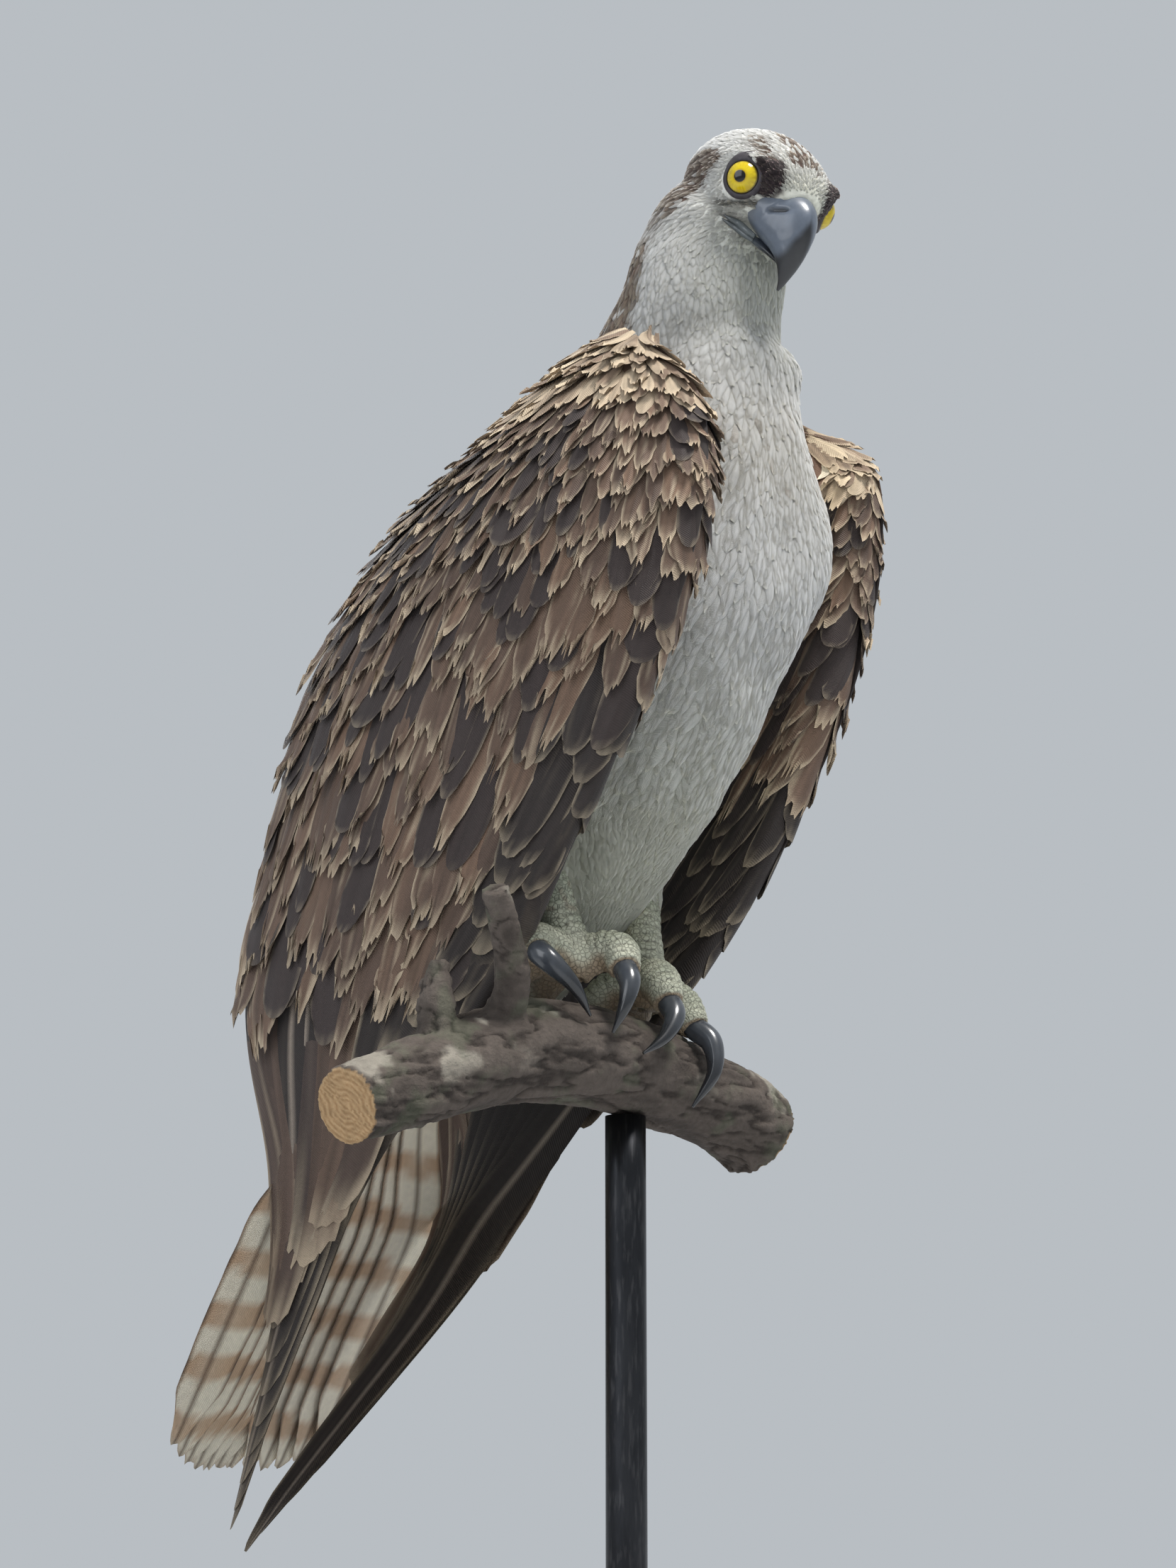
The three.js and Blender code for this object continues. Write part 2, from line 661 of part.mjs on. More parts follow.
for (const [name, side] of Object.entries(sides)) {
  nodes.set(`eye_${name}`, eyeSolid(side));
  const foot = FEET[name];
  const toes = Object.keys(foot.toes);
  nodes.set(
    `foot_${name}`,
    cutAll(join([...toes.map((toe) => toeSolid(foot, toe)), shankSolid(foot)]), [
      perchRoom,
      torsoRoom,
      ...toes.map((toe) => clawSolid(foot, toe, GAP)),
    ]),
  );
  for (const toe of toes)
    nodes.set(`claw_${name}_${toe}`, clawSolid(foot, toe).subtract(perchRoom));
  nodes.set(
    `thigh_${name}`,
    cutAll(thighSolid(foot), [torsoRoom, shankSolid(foot, GAP)]),
  );
  const wing = wingSolid(new WingSheet(name), side > 0 ? 11 : 7);
  nodes.set(`wing_${name}`, cutAll(wing, [torsoRoom, tailRoom, neckRoom, thighSolid(foot, GAP)]));
}

const rodTop = -PERCH.radius;
const baseTop = BASE.height - PERCH_TOP;
const rod = new THREE.CylinderGeometry(ROD.radius, ROD.radius, rodTop - baseTop - GAP, 18);
rod.rotateX(Math.PI / 2);
rod.translate(ROD.x, ROD.y, (rodTop + baseTop + GAP) / 2);
nodes.set("stand_rod", solid(rod).subtract(perchRoom));
nodes.set("perch", perchSolid());
const { radius, height, edge } = BASE;
const rim = (n) =>
  new THREE.Vector2(
    radius - edge + edge * Math.sin((n * Math.PI) / 6),
    height - edge + edge * Math.cos((n * Math.PI) / 6),
  );
const base = new THREE.LatheGeometry(
  [
    new THREE.Vector2(0, 0),
    new THREE.Vector2(radius - 2, 0),
    new THREE.Vector2(radius, 2),
    ...[3, 2, 1, 0].map(rim),
    new THREE.Vector2(0, height),
  ],
  30,
);
base.rotateX(Math.PI / 2);
base.translate(0, -GRIP_Y, -PERCH_TOP);
nodes.set("stand_base", solid(base));

// Colours, roughness and which nodes wear them
const FINISHES = {
  white_feather: [0xeceae2, 0.85, /^(head|neck|torso|thigh)/],
  brown_feather: [0x5c4a3d, 0.8, /^wing/],
  barred_feather: [0xcbb79c, 0.8, /^tail/],
  scaly_skin: [0xc9ccbf, 0.6, /^foot/],
  horn: [0x23262b, 0.35, /^(claw|bill)/],
  eye: [0xd9b80f, 0.1, /^eye/],
  bark: [0x6d655c, 0.95, /^perch/],
  stand_wood: [0x3b2a20, 0.5, /^stand_base/],
  stand_metal: [0x2f3033, 0.4, /^stand_rod/],
};
function materialOf(name) {
  const [color, roughness] = Object.values(FINISHES).find(([, , nodes]) =>
    nodes.test(name),
  );
  const metalness = name === "stand_rod" ? 0.9 : 0;
  return new THREE.MeshStandardMaterial({ color, roughness, metalness });
}

const osprey = new THREE.Group();
osprey.position.set(0, GRIP_Y, PERCH_TOP);
for (const [name, made] of nodes) {
  const { vertProperties, triVerts } = largest(made).getMesh();
  const g = new THREE.BufferGeometry();
  g.setAttribute("position", new THREE.BufferAttribute(vertProperties, 3));
  g.setIndex(new THREE.BufferAttribute(triVerts, 1));
  g.computeVertexNormals();
  const mesh = new THREE.Mesh(g, materialOf(name));
  mesh.name = name;
  osprey.add(mesh);
}

export default osprey;
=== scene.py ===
"""An osprey at rest on a cut branch over a display stand, dressed for the picture.

Shapes are worked out in millimetres from the grip point, the top of the perch between the
feet, and a finished piece is put in metres in the solids' own frame.
"""

import bpy
import numpy as np
from mathutils import Matrix, Vector
from mathutils.kdtree import KDTree


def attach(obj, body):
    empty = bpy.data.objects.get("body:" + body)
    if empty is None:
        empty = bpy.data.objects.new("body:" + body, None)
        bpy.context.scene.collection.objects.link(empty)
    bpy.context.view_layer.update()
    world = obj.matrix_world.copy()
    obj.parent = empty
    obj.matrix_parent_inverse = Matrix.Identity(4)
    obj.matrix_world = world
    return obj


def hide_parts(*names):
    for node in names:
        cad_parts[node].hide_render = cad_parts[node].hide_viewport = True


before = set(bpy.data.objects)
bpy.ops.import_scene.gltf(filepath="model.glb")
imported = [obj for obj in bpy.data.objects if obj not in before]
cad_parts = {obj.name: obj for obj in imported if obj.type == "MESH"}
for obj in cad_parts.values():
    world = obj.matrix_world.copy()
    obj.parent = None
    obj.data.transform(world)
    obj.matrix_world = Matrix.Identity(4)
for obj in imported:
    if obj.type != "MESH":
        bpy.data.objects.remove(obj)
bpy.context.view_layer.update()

GRIP = np.array([0.0, -12.0, 228.0])  # the grip point in the solids' frame


# Sums on whole arrays

def unit(v):
    """Vectors made one long."""
    return v / np.maximum(np.linalg.norm(v, axis=-1, keepdims=True), 1e-9)


def dot(a, b):
    """Product of vectors, summed over their last axis."""
    return (a * b).sum(-1)


def stacked(*values):
    """Values brought to one shape and stacked as the parts of vectors."""
    return np.stack(np.broadcast_arrays(*values), -1)


def mix(a, b, k):
    """Straight blend from a to b."""
    return a + (b - a) * k


def ease(x, low, high):
    """0 below low, 1 above high, with a smooth S between: 3t^2 - 2t^3."""
    t = np.clip((x - low) / (high - low), 0, 1)
    return t * t * (3 - 2 * t)


def bell(x, centre, width):
    """A bump of height 1 round a centre: exp(-(distance / width)^2)."""
    return np.exp(-(((x - centre) / width) ** 2))


def along(rows, t):
    """A smooth value along rows of numbers, t from 0 to 1: the cubic that passes through each
    row and keeps the slope between its two neighbours."""
    rows = np.asarray(rows, float)
    f = np.clip(t, 0, 1) * (len(rows) - 1)
    i = np.minimum(f.astype(int), len(rows) - 2)
    k = (f - i).reshape(f.shape + (1,) * (rows.ndim - 1))
    a, b, c, d = (rows[np.clip(i + n, 0, len(rows) - 1)] for n in (-1, 0, 1, 2))
    return b + 0.5 * k * (c - a + k * (2 * a - 5 * b + 4 * c - d + k * (3 * (b - c) + d - a)))


def noise(p, size, seed=0):
    """Smooth noise from -1 to 1: random numbers at the corners of cells of a size, blended
    inside each cell by the same S curve along each axis."""
    q = np.asarray(p, float) / size
    cell = np.floor(q).astype(np.int64)
    f = q - cell
    f = f * f * (3 - 2 * f)
    total = 0.0
    for corner in np.ndindex(2, 2, 2):
        c = cell + np.array(corner)
        h = (c[..., 0] * 374761393 + c[..., 1] * 668265263 + c[..., 2] * 1274126177
             + seed * 974634777) & 0xFFFFFFFF
        h = ((h ^ (h >> 13)) * 1274126177) & 0xFFFFFFFF
        value = ((h ^ (h >> 16)) & 0xFFFF) / 32767.5 - 1
        total = total + value * np.prod(np.where(corner, f, 1 - f), axis=-1)
    return total


def ripple(seed, *values):
    """Noise of several numbers taken together as a place, in cells of one."""
    return noise(stacked(*values), 1.0, seed)


def rough(p, size, seed=0, octaves=4):
    """Noise with finer noise added, each octave half the size and half the height."""
    return sum(noise(p, size / 2 ** n, seed + n) / 2 ** n for n in range(octaves)) / 1.6


def around(count):
    """Angles evenly round a turn."""
    return np.linspace(0, 2 * np.pi, count, endpoint=False)


def rgb(red, green, blue):
    """A colour as the eye reads it, 0 to 255, made linear."""
    c = np.array([red, green, blue]) / 255
    return np.where(c > 0.04045, ((c + 0.055) / 1.055) ** 2.4, c / 12.92)


# Meshes

def part_place(p):
    """Millimetres from the grip point to metres in the solids' frame."""
    return (np.asarray(p) + GRIP) / 1000


def make_mesh(name, points, faces):
    """A mesh from arrays of points and of faces with equal numbers of corners."""
    faces = np.asarray(faces, np.int32)
    count, corners = faces.shape
    mesh = bpy.data.meshes.new(name)
    mesh.vertices.add(len(points))
    mesh.vertices.foreach_set("co", part_place(points).astype(np.float32).ravel())
    mesh.loops.add(faces.size)
    mesh.loops.foreach_set("vertex_index", faces.ravel())
    mesh.polygons.add(count)
    mesh.polygons.foreach_set("loop_start", np.arange(count, dtype=np.int32) * corners)
    mesh.polygons.foreach_set("use_smooth", np.ones(count, bool))
    mesh.update(calc_edges=True)
    mesh.validate()
    return mesh


def piece(name, points, faces, material, replaces=(), rim=None, tint=None, vane=None,
          unwrap=None):
    """A finished piece from points and faces: its mesh gets an object, material, colours, sharp
    rims and bake map, and it is named what it stands for."""
    mesh = make_mesh(name, points, faces)
    if rim is not None:
        ends = np.empty(len(mesh.edges) * 2, np.int32)
        mesh.edges.foreach_get("vertices", ends)
        sharp = mesh.attributes.new("sharp_edge", "BOOLEAN", "EDGE")
        sharp.data.foreach_set("value", rim[ends].reshape(-1, 2).all(1))
    if tint is not None:
        colour = np.concatenate([np.clip(tint, 0, 1), np.ones((len(tint), 1))], 1)
        layer = mesh.attributes.new("tint", "FLOAT_COLOR", "POINT")
        layer.data.foreach_set("color", colour.astype(np.float32).ravel())
    if vane is not None:
        layer = mesh.attributes.new("vane", "FLOAT_VECTOR", "POINT")
        layer.data.foreach_set("vector", np.asarray(vane, np.float32).ravel())
    if unwrap is not None:
        corner = np.empty(len(mesh.loops), np.int32)
        mesh.loops.foreach_get("vertex_index", corner)
        layer = mesh.uv_layers.new(name="OFBake")
        layer.uv.foreach_set("vector", unwrap[corner].astype(np.float32).ravel())
    mesh.materials.append(material)
    body = bpy.data.objects.new(mesh.name, mesh)
    bpy.context.scene.collection.objects.link(body)
    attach(body, "root")
    if replaces:
        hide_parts(*replaces)


def numbered(rows, columns):
    """Numbers of a grid's points, row by row."""
    return np.arange(rows * columns).reshape(rows, columns)


def grid_faces(index, ring=False):
    """Quads of a grid of point numbers. A ring's last column meets its first."""
    beside = np.roll(index, -1, 1) if ring else index[:, 1:]
    here = index if ring else index[:, :-1]
    return np.stack([here[:-1], beside[:-1], beside[1:], here[1:]], -1).reshape(-1, 4)


def outwards(points, faces):
    """Faces of a closed shape, turned over if they point inwards: each face's first corner times
    the cross product of its diagonals adds up to the volume, which is then under nought."""
    a, b, c, d = (points[faces[:, n]] - points.mean(0) for n in (0, 1, 2, -1))
    return faces if dot(a, np.cross(c - a, d - b)).sum() > 0 else faces[:, ::-1]


def closed_tube(rings):
    """Points and triangles of rings of points (ring, around, 3), closed at each end by a fan
    to the ring's middle."""
    rows, columns, _ = rings.shape
    quads = grid_faces(numbered(rows, columns), ring=True)
    tris = np.concatenate([quads[:, [0, 1, 2]], quads[:, [0, 2, 3]]])
    first, last = rows * columns, rows * columns + 1
    around = np.arange(columns)
    beside = np.roll(around, -1)
    ends = [np.stack([np.full(columns, first), beside, around], 1),
            np.stack([np.full(columns, last), around + (rows - 1) * columns,
                      beside + (rows - 1) * columns], 1)]
    points = np.concatenate([rings.reshape(-1, 3), rings[0].mean(0)[None], rings[-1].mean(0)[None]])
    return points, outwards(points, np.concatenate([tris, *ends]))


def gather(parts):
    """One list of points and faces from several closed shapes."""
    points, faces, start = [], [], 0
    for p, f in parts:
        points.append(p)
        faces.append(f + start)
        start += len(p)
    return np.concatenate(points), np.concatenate(faces)


def melt(name, parts, voxel, smooth):
    """Several closed shapes melted into one skin: rebuilt on a lattice of cells of a size in
    millimetres, then each point drawn towards its neighbours. Returns points and quads."""
    points, faces = gather(parts)
    mesh = make_mesh(name, points, faces)
    body = bpy.data.objects.new(name, mesh)
    bpy.context.scene.collection.objects.link(body)
    remesh = body.modifiers.new("melt", "REMESH")
    remesh.mode = "VOXEL"
    remesh.voxel_size = voxel / 1000
    soft = body.modifiers.new("soft", "SMOOTH")
    soft.factor = 0.5
    soft.iterations = smooth
    graph = bpy.context.evaluated_depsgraph_get()
    made = body.evaluated_get(graph).to_mesh()
    points = np.empty(len(made.vertices) * 3, np.float32)
    made.vertices.foreach_get("co", points)
    faces = np.empty(len(made.loops), np.int32)
    made.loops.foreach_get("vertex_index", faces)
    points = points.reshape(-1, 3).astype(float) * 1000 - GRIP
    faces = faces.reshape(-1, 4)
    body.evaluated_get(graph).to_mesh_clear()
    bpy.data.objects.remove(body)
    bpy.data.meshes.remove(mesh)
    return points, faces


def point_normals(points, faces):
    """Normal at each point: the sum of the cross products of its quads' diagonals."""
    cross = np.cross(points[faces[:, 2]] - points[faces[:, 0]],
                     points[faces[:, 3]] - points[faces[:, 1]])
    total = np.zeros_like(points)
    for n in range(4):
        for axis in range(3):
            total[:, axis] += np.bincount(faces[:, n], cross[:, axis], len(points))
    return unit(total)


# Bodies of oval sections

class Loft:
    """Oval sections along a line. A section at t has a centre, a half width along the side
    and a half depth across it; power squares the oval: cos and sin are each raised to 2 / power."""

    def __init__(self, centres, widths, depths, side, power=2.0):
        self.centres, self.widths = np.array(centres, float), np.array(widths, float)
        self.depths, self.power = np.array(depths, float), power
        self.side = np.array(side, float)

    def rings(self, steps, sides, grow=0.0, t=None):
        """Rings of points from one end to the other, evenly spaced unless t is given."""
        t = np.linspace(0, 1, steps) if t is None else t
        centre = along(self.centres, t)
        run = unit(along(self.centres, np.minimum(t + 0.01, 1))
                   - along(self.centres, np.maximum(t - 0.01, 0)))
        across = unit(self.side - run * dot(run, self.side)[:, None])
        front = np.cross(across, run)
        angle = around(sides)

        def bend(x):
            """Cos or sin raised to 2 / power, its sign kept."""
            return np.sign(x) * np.abs(x) ** (2 / self.power)

        wide = (along(self.widths, t) + grow)[:, None, None]
        deep = (along(self.depths, t) + grow)[:, None, None]
        c, s = bend(np.cos(angle))[None, :, None], bend(np.sin(angle))[None, :, None]
        return centre[:, None] + across[:, None] * wide * c + front[:, None] * deep * s

    def closed(self, steps, sides, grow=0.0):
        """The loft as a closed shape, its faces outwards."""
        return closed_tube(self.rings(steps, sides, grow))


def way_along(points):
    """Distance from the first point of a line to each of its points."""
    return np.concatenate([[0], np.cumsum(np.linalg.norm(np.diff(points, axis=0), axis=1))])


def evenly(points, count):
    """Points spaced evenly along the smooth line through a few points."""
    fine = along(points, np.linspace(0, 1, 400))
    far = way_along(fine)
    want = np.linspace(0, far[-1], count)
    return np.stack([np.interp(want, far, fine[:, n]) for n in range(3)], 1)


def tube(points, radii, side):
    """A round loft through points, with radii spread evenly along it."""
    count = len(radii) * 3
    r = along(radii, np.linspace(0, 1, count))
    return Loft(evenly(points, count), r, r, side)


# The bird's measurements, those of the solids

TORSO = np.array([
    [238, -51, 26, 26], [221, -47, 33, 37], [201, -38, 43, 50], [177, -25, 51, 64],
    [150, -12, 55, 72], [118, 5, 54, 73], [85, 17, 47, 64], [52, 30, 33, 49],
    [22, 44, 25, 34], [-4, 60, 23, 21], [-24, 73, 20, 12]], float)
torso = Loft(np.stack([0 * TORSO[:, 0], TORSO[:, 1], TORSO[:, 0]], 1), TORSO[:, 2], TORSO[:, 3],
             (1, 0, 0), 2.2)

HEAD = {"at": (-3, -84, 280), "yaw": 24, "pitch": 37, "roll": 9}
head_turn = np.array(Matrix.Rotation(np.radians(-HEAD["yaw"]), 3, "Z")
                     @ Matrix.Rotation(np.radians(HEAD["pitch"]), 3, "X")
                     @ Matrix.Rotation(np.radians(HEAD["roll"]), 3, "Y"))


def in_head(forward, up, left=0.0):
    """A place given forward, up and to the left of the point midway between the eyes."""
    p = stacked(left, -np.asarray(forward, float), up)
    return p @ head_turn.T + np.array(HEAD["at"])


def head_place(p):
    """Forward, up and left of the point midway between the eyes, for any place."""
    q = (p - np.array(HEAD["at"])) @ head_turn
    return -q[..., 1], q[..., 2], q[..., 0]


HEAD_BASE = np.array([-1, -60, 266])  # a point of the plane that parts head and neck
HEAD_LINE = np.array([0, -0.45, 0.89])  # the way that plane looks


def above_neck(p):
    """How far places lie over the plane that parts head and neck."""
    return dot(p - HEAD_BASE, HEAD_LINE)


AXIS_HEIGHT = [-24, 60, 120, 200, 250, 298]
AXIS_BACK = [73, 30, 5, -38, -50, -62]


def behind_axis(p):
    """How far places lie behind the bird's own axis, a bent line worked out from the height."""
    return p[..., 1] - np.interp(p[..., 2], AXIS_HEIGHT, AXIS_BACK)


head_side = head_turn[:, 0]
head_forward = -head_turn[:, 1]
head_up = head_turn[:, 2]
SKULL = np.array([
    [-43, -2, -18, 9], [-38, 8, -24, 17], [-27, 16, -27, 22], [-13, 20, -26, 23.5],
    [-2, 19.5, -23, 22], [6, 16, -20, 19], [12, 11.5, -17, 14.5], [16, 7.5, -13.5, 10]])
skull = Loft(in_head(SKULL[:, 0], (SKULL[:, 1] + SKULL[:, 2]) / 2), SKULL[:, 3],
             (SKULL[:, 1] - SKULL[:, 2]) / 2, head_side)
NECK_LINE = [(0, -34, 205), (0, -44, 228), (1, -50, 250), (3, -54, 272), (5, -58, 287),
             (6, -62, 298)]
neck = tube(NECK_LINE, [40, 34, 31, 29, 25, 13], (1, 0, 0))
EYE = {"radius": 7.4, "out": 15.2, "forward": 0.1, "up": 0.4, "look": (0.60, 0.05, 0.80)}
FEET = {
    "right": {
        "middle": (-20, -8, 12),
        "toes": {"front_outer": [(-31, -6, 16), (-40, -6, 16), (-46, -12, 12)],
                 "front_inner": [(-16, -15, 16), (-14, -22, 15), (-17, -27, 9)],
                 "back_outer": [(-28, 0, 14), (-33, 6, 11), (-36, 11, 3)],
                 "back_inner": [(-18, 0, 14), (-16, 7, 9), (-16, 11, 1)]},
        "claws": {"front_outer": [(-46, -17, 8), (-41, -23, 0), (-33, -24, -9)],
                  "front_inner": [(-20, -31, 3), (-23, -31, -5), (-25, -27.5, -14)],
                  "back_outer": [(-37, 15, -3), (-36, 16, -13), (-35, 13, -23)],
                  "back_inner": [(-16, 15, -6), (-17, 15, -15), (-18, 11.5, -25)]},
        "shank": [(-24, -4, 30), (-27, 0, 48), (-29, 8, 68)],
        "thigh": [(-27, -1, 38), (-28, 2, 58), (-28, 8, 80), (-26, 18, 106)]},
    "left": {
        "middle": (18, -10, 8),
        "toes": {"front_outer": [(25, -14, 8), (29, -19, 3), (29, -25, -5)],
                 "front_inner": [(14, -18, 11), (11, -23, 7.5), (9, -27.5, 1)],
                 "back_outer": [(25, -3, 9), (30, 2, 5), (33, 6, -3)],
                 "back_inner": [(15, -1, 9), (14, 5, 4), (14, 9, -4)]},
        "claws": {"front_outer": [(29, -32, -11), (26, -34.5, -22), (19.5, -30, -34)],
                  "front_inner": [(5.5, -32, -5), (-1, -32, -13), (-9, -29, -19)],
                  "back_outer": [(33, 10, -9), (32.5, 10.5, -18), (31, 7.5, -28)],
                  "back_inner": [(14, 12.5, -10), (13, 13, -19), (12, 9.5, -29)]},
        "shank": [(22, -8, 26), (26, -3, 46), (29, 7, 68)],
        "thigh": [(25, -4, 36), (28, 1, 57), (28, 8, 80), (26, 18, 106)]}}
SIDES = {"right": -1, "left": 1}
# the face's collar round the bill's root: forward and up of its ridge, the same of its lower
# edge, and its half width
COLLAR = np.array([
    [0, 16, -8, -18, 19], [8, 11.5, 1, -16, 14.8], [13.5, 8.2, 5.5, -14.8, 11.0],
    [17, 5.8, 9, -13.6, 9.0]])
collar = Loft(in_head((COLLAR[:, 0] + COLLAR[:, 2]) / 2, (COLLAR[:, 1] + COLLAR[:, 3]) / 2),
              COLLAR[:, 4],
              np.hypot(COLLAR[:, 0] - COLLAR[:, 2], COLLAR[:, 1] - COLLAR[:, 3]) / 2, head_side)
thighs = {name: tube(foot["thigh"], [9.2, 15, 22, 26], (1, 0, 0)) for name, foot in FEET.items()}


# Skin

# how far the skin lies under the solids' surface, to leave room for the coat
COAT_ROOM = {"torso": -2.5, "neck": -2.2, "skull": -1.4, "collar": -0.9, "thigh": -2.0}
skin_points, skin_quads = melt(
    "skin_form",
    [torso.closed(60, 72, COAT_ROOM["torso"]), neck.closed(40, 60, COAT_ROOM["neck"]),
     skull.closed(40, 60, COAT_ROOM["skull"]), collar.closed(24, 60, COAT_ROOM["collar"]),
     *[leg.closed(30, 40, COAT_ROOM["thigh"]) for leg in thighs.values()]],
    voxel=1.7, smooth=9)


def shape_head(points):
    """Moves skin points of the head: a ridge over each eye, a hollow round it and before it,
    and fuller cheeks. Each is a bell in head places times a height along the normal."""
    forward, up, left = head_place(points)
    off = np.abs(left)
    normal = point_normals(points, skin_quads)
    on_head = ease(above_neck(points), -6, 8)
    brow = 2.6 * bell(up, 7.4 + 0.12 * forward, 2.6) * bell(forward, 3.0, 8.5) * bell(off, 17, 7)
    socket = -2.0 * bell(up, 0.2, 6.0) * bell(forward, 1.5, 7.5) * ease(off, 9, 15)
    lore = -3.2 * bell(up, -3.5, 5.0) * bell(forward, 12.5, 4.5) * ease(off, 5, 9)
    cheek = 1.5 * bell(up, -14, 7) * bell(forward, -6, 9) * ease(off, 6, 14)
    mouth = -1.8 * bell(up, -11, 3.2) * bell(forward, 8, 5) * ease(off, 7, 11)
    far_brow = 1.5 * bell(up, 4, 7) * bell(forward, 5, 8) * bell(left, 16, 8)
    return points + normal * ((brow + socket + lore + cheek + mouth + far_brow) * on_head)[:, None]


def shape_body(points):
    """Moves skin points of the body along the normal: soft lumps of noise stretched down the lie,
    as plumage falls in folds, and a fuller breast on the left before the wing."""
    normal = point_normals(points, skin_quads)
    below = ease(-above_neck(points), 0, 22)
    folds = 2.1 * noise(points * [1, 1, 0.5], 18, 3) + 1.0 * noise(points * [1, 1, 0.6], 9, 6)
    front = bell(points[:, 0], 42, 24) * bell(points[:, 1], -56, 36)
    breast = front * (16 * bell(points[:, 2], 168, 33) - 4 * bell(points[:, 2], 112, 22))
    other = (2.0 * bell(points[:, 0], -42, 16) * bell(points[:, 1], -50, 30)
             * bell(points[:, 2], 150, 44))
    throat = 2.0 * bell(points[:, 2], 226, 9) * bell(points[:, 1], -84, 12)
    tuft = (5.0 * bell(points[:, 0], 22, 11) * bell(points[:, 1], -74, 14)
            * bell(points[:, 2], 223, 7))
    return points + normal * (folds * below + breast + other + throat + tuft)[:, None]


skin_points = shape_head(shape_body(skin_points))
skin_normals = point_normals(skin_points, skin_quads)


class Near:
    """The nearest skin point to any place, kept in a lattice of cells. A cell that holds no
    skin point takes the nearest one of its neighbours' points, outwards step by step."""

    def __init__(self, points, normals, cell=3.0, reach=8):
        self.points, self.normals, self.cell = points, normals, cell
        self.low = points.min(0) - (reach + 1) * cell
        size = np.ceil((points.max(0) - self.low) / cell).astype(int) + reach + 2
        grid = np.full(size, -1, np.int32)
        grid[tuple(self.cells(points).T)] = np.arange(len(points))
        middle = (np.stack(np.indices(size), -1) + 0.5) * cell + self.low
        far = np.where(grid >= 0, ((middle - points[grid]) ** 2).sum(-1), np.inf)
        for _ in range(reach):
            for axis in range(3):
                for step in (1, -1):
                    other = np.roll(grid, step, axis)
                    gap = np.where(other >= 0, ((middle - points[other]) ** 2).sum(-1), np.inf)
                    better = gap < far
                    grid[better], far[better] = other[better], gap[better]
        self.grid = grid

    def cells(self, p):
        """The cell of each place: its distance from the lattice's corner over the cell's side."""
        return np.floor((p - self.low) / self.cell).astype(int)

    def lay(self, p, height):
        """Places moved along the skin's normal until they stand at a height over it."""
        c = np.clip(self.cells(p), 0, np.array(self.grid.shape) - 1)
        near = self.grid[c[..., 0], c[..., 1], c[..., 2]]
        q, n = self.points[near], self.normals[near]
        shift = np.where(near >= 0, dot(p - q, n) - height, 0)
        return p - n * shift[..., None]


near_skin = Near(skin_points, skin_normals)


# Markings, the same for skin and coat

WHITE = rgb(242, 240, 232)
CREAM = rgb(232, 222, 200)
# painted shade: greenish grey for the shaded underside and the green light reflected onto it
PAINTED_SHADE = rgb(200, 204, 174)
DARK = rgb(56, 44, 40)
BROWN = rgb(104, 80, 66)
TAN = rgb(176, 146, 114)
BUFF = rgb(222, 205, 176)


